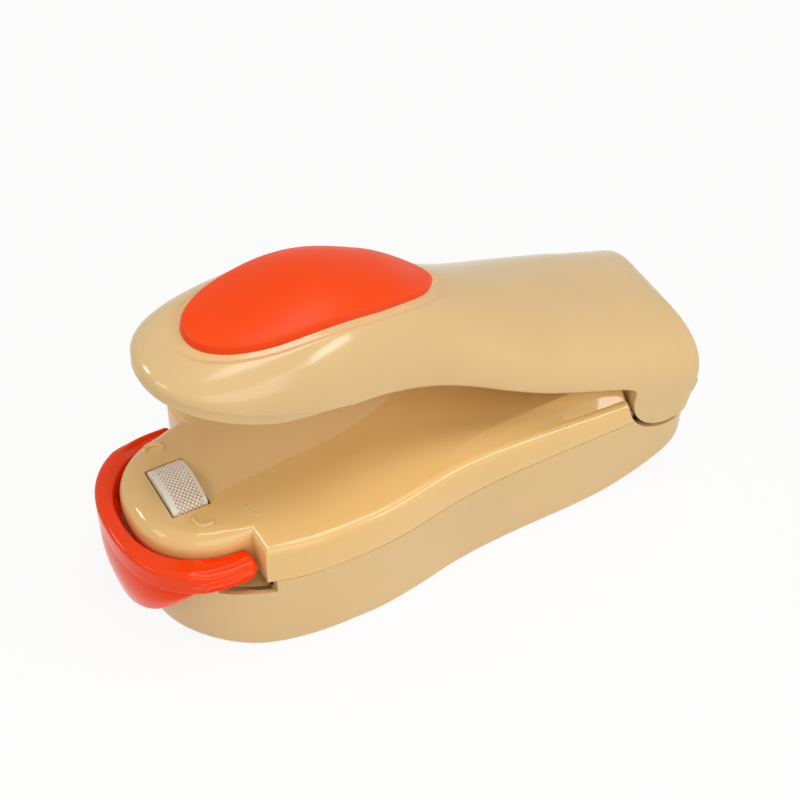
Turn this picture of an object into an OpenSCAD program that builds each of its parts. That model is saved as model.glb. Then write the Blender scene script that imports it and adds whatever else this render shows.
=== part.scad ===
// Hand-held mini bag sealer: battery base with a heated jaw, a spring-back arm and a rocking safety lock.
// The nose points to -Y, the hinge is at +Y, the base rests on Z = 0. The arm is drawn open.

/* [Base] */
// Widest width of the base, across the bulb behind the nose
bulb_w = 41.8; // [40:0.2:46]
// Width of the base at the waist
waist_w = 33.8; // [33.6:0.2:36]
// Width of the base and the arm at the hinge
rear_w = 33.4; // [33.2:0.2:36]
// How far the lower case reaches in front of the origin
case_front = 46.8; // [46.4:0.1:47]
// How far the lower case reaches behind the origin
case_rear = 51.2; // [51:0.1:51.6]
// Height of the parting line between lower case and deck
part_z = 15.6; // [15.4:0.1:15.8]
// Height of the deck's flat top
deck_z = 23.3; // [23.1:0.1:23.4]
// How far the deck's side edge drops at the rear
shoulder_drop = 3.1; // [2.8:0.1:3.2]
// Wall thickness of the base shells
wall = 1.6; // [1.4:0.1:1.8]
// Radius of the rounded stern under the hinge
stern_r = 28; // [27:0.5:30]

/* [Nose and lock] */
// Where the nose steps out to the full width
step_y = -32.9; // [-33.2:0.1:-32.6]
// Width of the safety lock over its arms
lock_w = 34.8; // [34.6:0.2:35.4]
// Thickness of the lock's band
lock_t = 2.9; // [2.7:0.1:2.9]
// Gap between the lock and the deck's nose
lock_gap = 0.6; // [0.5:0.05:0.8]
// Height of the lock's band
band_h = 4.3; // [4:0.1:4.4]
// Lowest point of the lock's thumb lobe
lobe_z = 5.4; // [5:0.1:7]
// Diameter of the lock's pivot pins
lock_pin_d = 2.0; // [1.6:0.1:2.4]

/* [Hinge] */
// Hinge axis, distance behind the origin
hinge_y = 44.6; // [44.5:0.1:44.7]
// Hinge axis, height
hinge_z = 20.2; // [20:0.1:20.4]
// Radius of the arm's hinge ears
ear_r = 7.4; // [7.2:0.1:7.5]
// Thickness of a hinge ear
ear_t = 4.3; // [4:0.1:4.4]
// Diameter of the hinge pin
pin_d = 2.4; // [2:0.1:2.6]
// Opening angle of the arm at rest
arm_open = 15.5; // [14:0.5:16]

/* [Arm] */
// Widest width of the arm's head
head_w = 29.4; // [29:0.2:31]
// Width of the arm's neck
neck_w = 24.6; // [24.4:0.2:27]
// How far the closed arm's nose reaches in front of the origin
arm_front = 48.8; // [48.4:0.1:49]
// Height of the vertical band around the arm's nose
skirt_h = 2; // [1.8:0.1:2.2]
// Wall thickness of the arm
arm_wall = 1.8; // [1.6:0.1:2]

/* [Thumb pad] */
// Length of the oval thumb pad
pad_len = 42.6; // [40:0.2:43]
// Width of the oval thumb pad
pad_w = 18.2; // [16:0.2:18.4]
// Thickness of the thumb pad
pad_t = 1.3; // [1.2:0.1:1.8]

/* [Heater] */
// Place of the heater along the base
heat_y = -39.4; // [-39.6:0.1:-39.2]
// Length of the heater block, across the base
heat_len = 9.8; // [9.4:0.2:10]
// Width of the heater block, along the base
heat_w = 6.1; // [5.7:0.1:6.3]
// Travel of the heater when it is pressed
heat_travel = 1.2; // [0.8:0.1:1.3]

/* [Batteries] */
// Diameter of a cell
cell_d = 14.2; // [14:0.1:14.3]
// Length of a cell without its nub
cell_len = 49.2; // [49:0.1:49.3]
// Length of a battery spring
cell_spring = 5; // [4.8:0.1:5.2]

/* [Hidden] */
$fn = 48;

cream = [0.87, 0.76, 0.57];
orange = [0.98, 0.33, 0.13];
steel = [0.72, 0.72, 0.74];
brass = [0.80, 0.66, 0.36];
rear_half = rear_w / 2;
eps = 0.01;
// Gap kept between pieces that move against each other
play = 0.3;
// Bore allowance around a fixed pin, and around a pin that turns
snug = 0.01;
turn = 0.05;

// Outline of the base: half width along Y, with a rounded nose and a squarer stern
base_nose_y = -19;
base_tail_y = 42;
base_half = [[base_nose_y, bulb_w / 2], [-13, bulb_w / 2 - 0.1], [-6, bulb_w / 2 - 1.1],
             [2, waist_w / 2 + 1.3], [10, waist_w / 2 + 0.4], [20, waist_w / 2],
             [32, rear_half], [base_tail_y, rear_half - 0.1]];
base_nose_p = 2.3;
base_tail_p = 4;
// The deck's nose, stepped in to let the lock pass
nose_w = lock_w - 2 * (lock_t + lock_gap);
nose_p = 2.3;
nose_len = 15.3;
deck_end_y = 38.9;
deck_skin = 1.8;
// Height of the deck's side edge along Y, and how far in its crease lies
edge_drop = [[-10, 0], [2, 0.1], [16, 0.45 * shoulder_drop], [36, shoulder_drop], [60, shoulder_drop]];
crease_in = [[-10, 1.5], [0, 2.1], [10, 4.6], [60, 5]];
ceiling_in = [[-10, wall + 0.02], [0, wall + 0.4], [10, 5.6], [60, 6]];
stern_y = case_rear - 20.2;
floor_t = 1.8;

// Outline of the closed arm: half width along Y, edge height and crest height
arm_nose_y = -26;
arm_tail_y = hinge_y;
arm_rear = hinge_y + ear_r;
// The shell behind the hinge stops short, so that it stays inside the ears when the arm is up
arm_back = arm_rear - 0.7;
arm_half = [[arm_nose_y, head_w / 2], [-19, head_w / 2 - 0.4], [-11, neck_w / 2 + 0.6], [-3, neck_w / 2],
            [4, neck_w / 2 + 0.8], [12, rear_half - 1.7], [20, rear_half - 0.5], [30, rear_half],
            [arm_tail_y, rear_half]];
arm_nose_p = 2.25;
arm_tail_p = 8;
edge_table = [[-arm_front, 26.8], [-27, 26.4], [-12, 26.2], [-3, 25.7], [4, 25.1], [11, 24.3], [18, 23.5],
              [28, 22.7], [34.4, 22], [38.4, 20.9], [arm_back, hinge_z]];
crest_table = [[-arm_front, 32], [-42, 33.7], [-34, 36.4], [-22, 40.6], [-10, 40.2], [0, 37.2], [10, 34.9],
               [20, 33.3], [30, 32.2], [40, 31.7], [arm_back, 30.7]];
// Shape of the arm's cross section: low is a soft dome, high is boxy
bulge_table = [[-arm_front, 2.2], [-12, 2.3], [0, 2.2], [10, 1.95], [20, 2], [34, 2.2], [arm_back, 2.4]];
skirt_table = [[-arm_front, skirt_h], [-31, skirt_h], [-19, 0.3], [arm_back, 0.3]];
arm_levels = 9;
lip = 0.05;

ear_in = rear_half - ear_t;
ear_gap = 0.8;
// The ears lie a little inside the shell's side walls
ear_sink = 0.2;
boss_r = 4.4;
boss_in = 4.6;
boss_out = ear_in - play;
pin_r = pin_d / 2;
pin_reach = ear_in + 2.4;

// Lock
lock_y = -36.8;
lock_nose = arm_rear + lock_y;
lock_p = 2.3;
rock_gap = 1.1;
band_z = part_z + play;
lock_pivot_y = lock_y - 1.2;
cheek_x = nose_w / 2 - 3.4;
cheek_r = 2;
lock_pivot_z = band_z + band_h / 2;
lock_pin_r = lock_pin_d / 2;
lock_end_y = step_y - 0.6;
lobe_half = 16.4;
notch_y = -31.4;
notch_len = 8.4;
notch_depth = 2.4;
shelf_t = 4;

// Heater stack, measured from the crown of its block outward
crown_r = 12;
crown_z = 24.5;
crown_c = crown_z - crown_r;
ribbon_t = 0.15;
ribbon_w = 2.4;
cover_t = 0.3;
cover_gap = 0.03;
flange_z = 19.4;
flange_h = 1.8;
flange_out = 2.2;
block_z = 15.5;
plunger_r = 1;
plunger_z = 13.9;
slot_len = heat_len + 2 * (ribbon_t + cover_t + 2 * cover_gap) + 2 * play;
slot_w = heat_w + 2 * play;
seat_z = 10;
heat_spring_x = 3.2;
heat_spring_r = 1.2;
heat_wire_r = 0.2;
heat_turns = 5;
leaf_z = 12.05;
leaf_t = 0.3;
leaf_w = 2.6;
leaf_reach = 10.5;
anvil_z = 10.7;
anvil_half = 1.3;
switch_y = heat_y + 8.6;

// Battery bay
cell_r = cell_d / 2;
cell_x = cell_r + 0.15;
nub_r = 2.75;
nub_h = 1.3;
cell_z = 2.2 + cell_r;
plate_t = 0.4;
bay_front = -20.3;
bay_rear = bay_front + 2 * plate_t + cell_len + nub_h + cell_spring;
bay_wall = 1.2;
plate_h = 11;
plate_w = 11;
door_half = 14.3;
door_lip = 1;
door_z = 0.25;
door_t = 1.5;
spring_wire_r = 0.3;
spring_wide = 3.4;
spring_tight = 2.2;
spring_turns = 4;

// Screws
screw_r = 1;
screw_head_r = 2;
screw_head_h = 1.5;
post_r = 3.1;
front_screw = [15.2, -27];
rear_screw = [8.8, 44.4];
post_top = 9;
rear_post_top = 11.2;
front_head_z = 0.9;
rear_head_z = 5;
arm_screw_y = [-25, 8];
arm_boss_r = 2.6;
arm_screw_len = 4.8;

// Arm inner pieces, in the closed pose
liner_z = 28.2;
liner_t = 1.4;
liner_fill = 0.7;
liner_end = 14;
press_half = [6.2, 4.2];
press_z = 26.6;
silicone_half = [5.6, 3.4];
silicone_z = 25.35;
peg_y = [-36, -13];
peg_r = 1.2;
pad_y = -25.5;
pad_blunt = 16.6;
pad_p = 2.2;
pad_tail_p = 1.75;
pad_gap = 0.15;

// Return spring
coil_r = 2.2;
coil_wire_r = 0.35;
coil_turns = 4;
coil_len = 5.6;
leg_reach = 10.6;
leg_gap = 0.45;

// Smooth reading of a table of [place, value] pairs
function seg(t, y, i = 0) = (i >= len(t) - 2 || y < t[i + 1][0]) ? i : seg(t, y, i + 1);
function slope(t, i) =
    let (a = t[max(i - 1, 0)], b = t[min(i + 1, len(t) - 1)])
    (b[1] - a[1]) / (b[0] - a[0]);
function at(t, y) =
    let (i = seg(t, y), h = t[i + 1][0] - t[i][0], u = min(max((y - t[i][0]) / h, 0), 1))
    (1 + 2 * u) * (1 - u) * (1 - u) * t[i][1] + u * (1 - u) * (1 - u) * h * slope(t, i)
    + u * u * (3 - 2 * u) * t[i + 1][1] + u * u * (u - 1) * h * slope(t, i + 1);

// Superellipse corner from (0, -1) to (1, 0)
function corner(p, n) = [for (i = [0:n]) let (a = 90 * i / n) [pow(sin(a), 2 / p), -pow(cos(a), 2 / p)]];

// Right half of an outline, from the front tip to the rear tip
function half_outline(t, front, front_p, rear, rear_p, n_end = 9, n_side = 26) =
    let (y0 = t[0][0], y1 = t[len(t) - 1][0], w0 = t[0][1], w1 = t[len(t) - 1][1])
    concat([for (c = corner(front_p, n_end)) [w0 * c[0], y0 + (y0 - front) * c[1]]],
           [for (i = [1:n_side - 1]) let (y = y0 + (y1 - y0) * i / n_side) [at(t, y), y]],
           [for (i = [n_end:-1:0]) let (c = corner(rear_p, n_end)[i]) [w1 * c[0], y1 - (rear - y1) * c[1]]]);

// Closed outline from its right half
function closed(h) = concat(h, [for (i = [len(h) - 2:-1:1]) [-h[i][0], h[i][1]]]);

// Outline moved inward by d along its own normals
function inset(p, d) =
    let (n = len(p))
    [for (i = [0:n - 1])
        let (t = p[(i + 1) % n] - p[(i + n - 1) % n])
        p[i] - d * [t[1], -t[0]] / norm(t)];

base_outline = closed(half_outline(base_half, -case_front, base_nose_p, case_rear, base_tail_p));
// The deck's outline runs on past its square end, where it is cut off
deck_side = concat(base_half, [[case_rear, rear_half - 0.2]]);
deck_over = case_rear + 12;
nose_corner = corner(nose_p, 12);
step_reach = (base_nose_y - step_y) / (base_nose_y + case_front);
step_half = bulb_w / 2 * pow(1 - pow(step_reach, base_nose_p), 1 / base_nose_p);
deck_half =
    concat([for (c = nose_corner) [nose_w / 2 * c[0], step_y + nose_len * c[1]]],
           [[step_half, step_y + 0.05]],
           [for (h = half_outline(deck_side, -case_front, base_nose_p, deck_over, nose_p))
               if (h[1] > step_y + 0.5) h]);
deck_outline = closed(deck_half);
arm_outline = closed(half_outline(arm_half, -arm_front, arm_nose_p, arm_back, arm_tail_p));
arm_inner_half = [for (t = arm_half) [t[0], t[1] - arm_wall]];
arm_inner = closed(half_outline(arm_inner_half, arm_wall - arm_front, arm_nose_p,
                                arm_back - arm_wall, arm_tail_p));

// Solid between stacked rings of equal length, capped across the middle at both ends
module skin(rings) {
    n = len(rings[0]);
    half = n / 2;
    last = (len(rings) - 1) * n;
    strips = [for (i = [0:half - 1])
        let (a = (n - i) % n, b = (n - i - 1) % n)
        i == 0 ? [0, 1, b] : i == half - 1 ? [i, half, a] : [i, i + 1, b, a]];
    flat_strips = [for (s = strips) each len(s) == 3 ? [s] : [[s[0], s[1], s[2]], [s[0], s[2], s[3]]]];
    sides = [for (k = [0:len(rings) - 2]) for (i = [0:n - 1])
        let (a = k * n + i, b = k * n + (i + 1) % n)
        each [[a, a + n, b + n], [a, b + n, b]]];
    polyhedron([for (r = rings) each r],
               concat(flat_strips, sides, [for (s = flat_strips) [for (j = [2:-1:0]) last + s[j]]]),
               convexity = 8);
}

// Round tube along a path; ref is a direction the path never runs along
module tube(path, r, ref, sides = 6) {
    n = len(path);
    pts = [for (i = [0:n - 1])
        let (t = path[min(i + 1, n - 1)] - path[max(i - 1, 0)],
             u = cross(t, ref) / norm(cross(t, ref)),
             v = cross(t, u) / norm(t))
        each [for (j = [0:sides - 1]) path[i] + r * (u * cos(360 * j / sides) + v * sin(360 * j / sides))]];
    polyhedron(pts, concat([[for (j = [sides - 1:-1:0]) j]],
        [for (i = [0:n - 2]) for (j = [0:sides - 1])
            let (a = i * sides + j, b = i * sides + (j + 1) % sides)
            each [[a, b, b + sides], [a, b + sides, a + sides]]],
        [[for (j = [0:sides - 1]) (n - 1) * sides + j]]), convexity = 10);
}

// Turns a piece of the closed arm up to its rest pose
module arm_pose() {
    translate([0, hinge_y, hinge_z]) rotate([-arm_open, 0, 0]) translate([0, -hinge_y, -hinge_z]) children();
}

module x_rod(r, x0, x1, y, z) {
    translate([x0, y, z]) rotate([0, 90, 0]) cylinder(r = r, h = x1 - x0);
}

module y_rod(r, x, y0, y1, z) {
    translate([x, y0, z]) rotate([-90, 0, 0]) cylinder(r = r, h = y1 - y0);
}

module z_rod(r, x, y, z0, z1) {
    translate([x, y, z0]) cylinder(r = r, h = z1 - z0);
}

module box(lo, hi) {
    translate(lo) cube(hi - lo);
}

module both() {
    children();
    mirror([1, 0, 0]) children();
}

// Base lower case: a tub with a rounded stern, battery bay, screw posts and switch posts
function stern(y) = y < stern_y ? 0 : stern_r - sqrt(stern_r * stern_r - (y - stern_y) * (y - stern_y));
function case_ring(d, z) =
    [for (p = inset(base_outline, d)) [p[0], p[1], min(stern(p[1]) + z, part_z - 1.5)]];
function flat_ring(outline, d, z) = [for (p = inset(outline, d)) [p[0], p[1], z]];

module case_tub() {
    outside = [case_ring(1.3, 0), case_ring(0.55, 0.35), case_ring(0.25, 1.2),
               flat_ring(base_outline, 0, part_z)];
    inside = [flat_ring(base_outline, wall, part_z), case_ring(wall + 0.3, floor_t + 1),
              case_ring(wall + 1, floor_t)];
    skin(concat(outside, inside));
}

// Ring of a post: at z, or in the thickness of the curved floor where z is 0
function post_ring(c, r, z) =
    [for (i = [0:23])
        let (a = 15 * i - 90, y = c[1] + r * sin(a))
        [c[0] + r * cos(a), y, z > 0 ? z : stern(y) + floor_t / 3]];

// Shelf that closes the case around the deck's nose and makes the floor of the lock's reliefs
module nose_shelf() {
    nose = [for (c = nose_corner) [(nose_w / 2 - wall) * c[0], step_y + (nose_len - wall) * c[1]]];
    inside = concat(nose, [[nose_w / 2 - wall, step_y + 2]]);
    translate([0, 0, part_z - shelf_t]) linear_extrude(shelf_t) difference() {
        intersection() {
            polygon(inset(base_outline, wall / 2));
            translate([-bulb_w, -2 * case_front]) square([2 * bulb_w, 2 * case_front + step_y + wall]);
        }
        polygon(concat(inside, [for (i = [len(inside) - 1:-1:1]) [-inside[i][0], inside[i][1]]]));
    }
}

module base_lower_case() {
    color(cream) difference() {
        union() {
            case_tub();
            // End walls of the battery bay
            box([wall - bulb_w / 2, bay_front - bay_wall, door_z + door_t + play],
                [bulb_w / 2 - wall, bay_front, part_z - 0.5]);
            box([wall / 2 - rear_half, bay_rear, door_z + door_t + play],
                [rear_half - wall / 2, bay_rear + bay_wall, part_z - 2.5]);
            both() {
                z_rod(post_r, front_screw[0], front_screw[1], floor_t - 1, post_top);
                skin([post_ring(rear_screw, post_r, 0), post_ring(rear_screw, post_r, rear_post_top)]);
                // Seats of the heater springs
                z_rod(1.55, heat_spring_x, heat_y, floor_t - 0.5, seat_z);
                z_rod(0.7, heat_spring_x, heat_y, seat_z - 0.5, seat_z + 1.4);
            }
            nose_shelf();
            z_rod(anvil_half, 0, heat_y, floor_t - 0.5, anvil_z - plate_t);
            z_rod(2.2, 0, switch_y, floor_t - 0.5, leaf_z);
        }
        // Opening for the battery door, and the pocket for its lips
        box([-door_half - play, bay_front, -1], [door_half + play, bay_rear, door_z + door_t + play]);
        box([-door_half + 2, bay_front - door_lip - play, -1],
            [door_half - 2, bay_rear + door_lip + play, door_z + door_t + play]);
        both() {
            z_rod(screw_r + 0.2, front_screw[0], front_screw[1], -1, post_top + 1);
            z_rod(screw_head_r + 0.3, front_screw[0], front_screw[1], -1, front_head_z + screw_head_h);
            z_rod(screw_r + 0.2, rear_screw[0], rear_screw[1], -1, rear_post_top + 1);
            z_rod(screw_head_r + 0.3, rear_screw[0], rear_screw[1], -1, rear_head_z + screw_head_h);
            // Relief under the ends of the lock
            box([nose_w / 2 - 0.6, notch_y - notch_len, part_z - notch_depth], [bulb_w, notch_y, part_z + 1]);
        }
        z_rod(screw_r + turn, 0, switch_y, leaf_z - 5, leaf_z + 1);
        // Clearance under the arm's hinge end
        x_rod(ear_r + ear_gap, -bulb_w, bulb_w, hinge_y, hinge_z);
    }
}

// Base deck: the top shell, with its stepped nose, heater slot, cell cradles and hinge bosses
function deck_ring(d, z) = [for (p = inset(deck_outline, d)) [p[0], p[1], deck_z - at(edge_drop, p[1]) + z]];
function varied_ring(table, z) =
    let (n = len(deck_outline), far = inset(deck_outline, 1))
    [for (i = [0:n - 1])
        let (o = deck_outline[i], p = o + (far[i] - o) * at(table, o[1])) [p[0], p[1], z]];

module deck_lid() {
    skin([varied_ring(ceiling_in, deck_z - deck_skin), deck_ring(wall, -deck_skin - 0.4),
          flat_ring(deck_outline, wall, part_z), flat_ring(deck_outline, 0, part_z), deck_ring(0.15, -1.1),
          deck_ring(0.5, -0.35), deck_ring(1.2, 0), varied_ring(crease_in, deck_z)]);
}

module base_deck() {
    color(cream) difference() {
        union() {
            difference() {
                deck_lid();
                box([-bulb_w, deck_end_y, 0], [bulb_w, deck_over + 1, 2 * deck_z]);
            }
            both() {
                z_rod(arm_boss_r, front_screw[0], front_screw[1], post_top, deck_z - 1);
                // Hinge boss on its web, with a foot for the rear screw
                x_rod(boss_r, boss_in, boss_out, hinge_y, hinge_z);
                box([boss_in, deck_end_y - 3, part_z + 0.4], [boss_out, hinge_y, hinge_z + 1]);
                z_rod(arm_boss_r, rear_screw[0], rear_screw[1], rear_post_top, hinge_z - 2);
                // Cheeks that carry the lock's pivot pins
                z_rod(cheek_r, cheek_x, lock_pivot_y, part_z, deck_z - 1);
                // Cradles that hold the cells down
                for (y = [-8, 22]) box([cell_x - 5, y, cell_z + 4], [cell_x + 5, y + 1.6, deck_z - 1]);
            }
        }
        // Slot for the heater
        box([-slot_len / 2, heat_y - slot_w / 2, block_z], [slot_len / 2, heat_y + slot_w / 2, deck_z + 1]);
        both() {
            y_rod(cell_r + turn, cell_x, bay_front, bay_rear, cell_z);
            z_rod(screw_r + turn, front_screw[0], front_screw[1], post_top - 1, deck_z - 3);
            z_rod(screw_r + turn, rear_screw[0], rear_screw[1], rear_post_top - 1, hinge_z - 3);
            x_rod(lock_pin_r + snug, cheek_x, bulb_w, lock_pivot_y, lock_pivot_z);
            // Room for the hinge ears
            x_rod(ear_r + ear_gap, ear_in - play, bulb_w, hinge_y, hinge_z);
        }
        x_rod(pin_r + snug, -bulb_w, bulb_w, hinge_y, hinge_z);
    }
}

// Battery door: a plate that snaps in flush with the bottom, with finger grooves
module battery_door() {
    color(cream) difference() {
        union() {
            box([-door_half, bay_front + play, door_z], [door_half, bay_rear - play, door_z + door_t]);
            box([-door_half + 2 + play, bay_front - door_lip, door_z + 0.5],
                [door_half - 2 - play, bay_rear + door_lip, door_z + door_t]);
        }
        for (i = [0:4]) y_rod(0.5, -6 + 3 * i, bay_rear - 10, bay_rear - 4, door_z - 0.1);
    }
}

// Two size AA cells, side by side and head to tail
module aa_cell() {
    y_rod(cell_r, 0, 0, cell_len, 0);
    y_rod(nub_r, 0, -nub_h, eps, 0);
}

cell_front = bay_front + plate_t + nub_h;

module aa_cells() {
    color([0.25, 0.27, 0.30]) {
        translate([cell_x, cell_front, cell_z]) aa_cell();
        translate([-cell_x, bay_rear - plate_t - nub_h, cell_z]) rotate([0, 0, 180]) aa_cell();
    }
}

// Plate that joins the cells at the front, and the two terminal plates at the rear
module link_plate() {
    color(steel) box([-cell_x - plate_w / 2, bay_front, cell_z - plate_h / 2],
                     [cell_x + plate_w / 2, bay_front + plate_t, cell_z + plate_h / 2]);
}

module terminal_plates() {
    color(steel) both() box([cell_x - plate_w / 2, bay_rear - plate_t, cell_z - plate_h / 2],
                            [cell_x + plate_w / 2, bay_rear, cell_z + plate_h / 2]);
}

// Cone of spring wire along Y, from a plate toward a cell
function cone(len, r0, r1, turns) =
    [for (i = [0:8 * turns])
        let (u = i / (8 * turns), r = r0 + (r1 - r0) * u) [r * cos(45 * i), len * u, r * sin(45 * i)]];
cell_coil = cone(cell_spring - 2 * spring_wire_r - 0.1, spring_wide, spring_tight, spring_turns);

module battery_springs() {
    echo(battery_spring_gap = least_gap(cell_coil, spring_wire_r));
    color(steel) {
        translate([-cell_x, bay_front + plate_t + spring_wire_r + 0.05, cell_z])
            tube(cell_coil, spring_wire_r, [0, 1, 0]);
        translate([cell_x, bay_rear - plate_t - spring_wire_r - 0.05, cell_z])
            rotate([0, 0, 180]) tube(cell_coil, spring_wire_r, [0, 1, 0]);
    }
}

// Pan head screw, drawn head down from z = 0
module screw(len) {
    difference() {
        union() {
            cylinder(r = screw_head_r, h = screw_head_h);
            cylinder(r = screw_r, h = len);
        }
        for (a = [0, 90]) rotate([0, 0, a]) box([-1.3, -0.25, -1], [1.3, 0.25, 0.7]);
    }
}

module case_screws() {
    color(steel) both() {
        translate([front_screw[0], front_screw[1], front_head_z]) screw(post_top + 6 - front_head_z);
        translate([rear_screw[0], rear_screw[1], rear_head_z]) screw(rear_post_top + 3.5 - rear_head_z);
    }
}

// Safety lock: a band around the nose with a thumb lobe, ribbed at the ends of its arms
function lock_half(t) =
    concat([for (c = corner(lock_p, 14)) [(lock_w / 2 - t) * c[0], lock_y + (lock_nose - t) * c[1]]],
           [[lock_w / 2 - t, lock_end_y]]);
function lock_outline(t) =
    let (h = lock_half(t)) concat(h, [for (i = [len(h) - 1:-1:1]) [-h[i][0], h[i][1]]]);

// Room inside the lock: the nose's outline with a gap, larger in front where the lock rocks
lock_bay_half =
    [for (c = corner(nose_p, 14)) [(nose_w / 2 + lock_gap) * c[0], step_y + (nose_len + rock_gap) * c[1]]];
lock_bay = concat(lock_bay_half, [for (i = [14:-1:1]) [-lock_bay_half[i][0], lock_bay_half[i][1]]]);

module lock_prism(t, z0, z1) {
    translate([0, 0, z0]) linear_extrude(z1 - z0) polygon(lock_outline(t));
}

module safety_lock() {
    lobe_r = (lobe_half * lobe_half + pow(band_z - lobe_z, 2)) / (2 * (band_z - lobe_z));
    color(orange) difference() {
        union() {
            difference() {
                lock_prism(0, band_z, band_z + band_h);
                translate([0, 0, band_z - 1]) linear_extrude(band_h + 2) polygon(lock_bay);
                box([-lock_w, lock_end_y - eps, band_z - 1], [lock_w, lock_end_y + 1, band_z + band_h + 1]);
            }
            intersection() {
                difference() {
                    lock_prism(0.5, lobe_z, band_z + eps);
                    lock_prism(lock_t - 0.4, lobe_z - 1, band_z + 1);
                    linear_extrude(band_z) polygon(inset(base_outline, -1.5 * play));
                }
                y_rod(lobe_r, 0, -2 * bulb_w, lock_y - 4, lobe_z + lobe_r);
            }
            // Grip ribs along the arms
            both() for (z = [0.3, 0.7])
                y_rod(0.45, lock_w / 2 - 0.15, lock_y - 0.5, lock_end_y - 0.4, band_z + z * band_h);
        }
        both() x_rod(lock_pin_r + turn, nose_w / 2 - 1, lock_w / 2 - 1.2, lock_pivot_y, lock_pivot_z);
    }
}

module lock_pins() {
    color(steel) both() x_rod(lock_pin_r, cheek_x + turn, lock_w / 2 - 1.4, lock_pivot_y, lock_pivot_z);
}

// Heater: a crowned block on springs, a resistance ribbon over it and a woven cover over that
module crown_strip(lift, t, w, len, z_low) {
    translate([0, heat_y - w / 2, 0]) difference() {
        intersection() {
            translate([0, 0, crown_c]) rotate([-90, 0, 0]) cylinder(r = crown_r + lift + t, h = w, $fn = 96);
            box([-len / 2 - lift - t, -eps, z_low], [len / 2 + lift + t, w + eps, crown_z + 2]);
        }
        intersection() {
            translate([0, -1, crown_c]) rotate([-90, 0, 0]) cylinder(r = crown_r + lift, h = w + 2, $fn = 96);
            box([-len / 2 - lift, -1, z_low - 1], [len / 2 + lift, w + 1, crown_z + 2]);
        }
    }
}

module heater_block() {
    color([0.93, 0.92, 0.88]) {
        intersection() {
            box([-heat_len / 2, heat_y - heat_w / 2, block_z],
                [heat_len / 2, heat_y + heat_w / 2, crown_z + 1]);
            y_rod(crown_r, 0, heat_y - heat_w, heat_y + heat_w, crown_c);
        }
        box([-heat_len / 2 - flange_out, heat_y - heat_w / 2 + 0.2, flange_z],
            [heat_len / 2 + flange_out, heat_y + heat_w / 2 - 0.2, flange_z + flange_h]);
        z_rod(plunger_r, 0, heat_y, plunger_z, block_z + 1);
    }
}

module heater_ribbon() {
    color(steel) crown_strip(cover_gap, ribbon_t, ribbon_w, heat_len, flange_z + flange_h + cover_gap);
}

module heater_cover() {
    color([0.86, 0.80, 0.68])
        crown_strip(ribbon_t + 2 * cover_gap, cover_t, heat_w, heat_len, flange_z + flange_h + cover_gap);
}

heat_coil_len = block_z - seat_z - 2 * heat_wire_r - 0.1;

// Least gap between neighbouring curls of a spring drawn with eight points a curl
function least_gap(path, wire) =
    min([for (i = [0:len(path) - 6])
        min([for (j = [i + 5:len(path) - 1]) norm(path[i] - path[j])])]) - 2 * wire;

module heater_springs() {
    coil = [for (i = [0:8 * heat_turns])
        [heat_spring_r * cos(45 * i), heat_spring_r * sin(45 * i), heat_coil_len * i / (8 * heat_turns)]];
    echo(heater_spring_gap = least_gap(coil, heat_wire_r));
    color(steel) both() translate([heat_spring_x, heat_y, seat_z + heat_wire_r + 0.05])
        tube(coil, heat_wire_r, [0, 0, 1]);
}

// Switch: a leaf that the heater's plunger presses onto a fixed contact
module switch_leaf() {
    color(brass) difference() {
        box([-leaf_w / 2, heat_y - 1.5, leaf_z], [leaf_w / 2, heat_y + leaf_reach, leaf_z + leaf_t]);
        z_rod(screw_r + 0.1, 0, switch_y, leaf_z - 1, leaf_z + 1);
    }
}

module switch_anvil() {
    color(brass) {
        box([-anvil_half, heat_y - 1.6, anvil_z - plate_t], [anvil_half, heat_y + 2.4, anvil_z]);
        z_rod(0.9, 0, heat_y, anvil_z - eps, anvil_z + 0.5);
    }
}

module switch_screw() {
    color(steel) translate([0, switch_y, leaf_z + leaf_t + screw_head_h]) mirror([0, 0, 1])
        screw(screw_head_h + leaf_t + 4);
}

// Two leads from the terminal plates along the case walls, one to the leaf and one to the anvil
wire_r = 0.5;
wire_start = [[11.9, bay_rear - 0.5, 15.4], [13, 27, 16.3], [13, 0, 16.6], [13, -17, 16.6]];
leaf_end = [[10, -24, 15], [2, -29, 12.95]];
anvil_end = [[9, -27, 14], [5.6, -32, 12], [0.6, -36.9, anvil_z + wire_r + 0.05]];

function curve(p, k) =
    let (last = len(p) - 1)
    concat([for (i = [0:last - 1]) each [for (j = [0:k - 1])
        let (u = j / k, a = p[max(i - 1, 0)], b = p[i], c = p[i + 1], d = p[min(i + 2, last)])
        (2 * b + (c - a) * u + (2 * a - 5 * b + 4 * c - d) * u * u
         + (3 * b - a - 3 * c + d) * u * u * u) / 2]],
        [p[last]]);

module lead_wires() {
    color([0.75, 0.1, 0.1]) {
        tube(curve(concat(wire_start, leaf_end), 5), wire_r, [0.2, 0, 1]);
        mirror([1, 0, 0]) tube(curve(concat(wire_start, anvil_end), 5), wire_r, [0.2, 0, 1]);
    }
}

// Hinge pin and the torsion spring that lifts the arm
module hinge_pin() {
    color(steel) x_rod(pin_r, -pin_reach, pin_reach, hinge_y, hinge_z);
}

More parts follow.
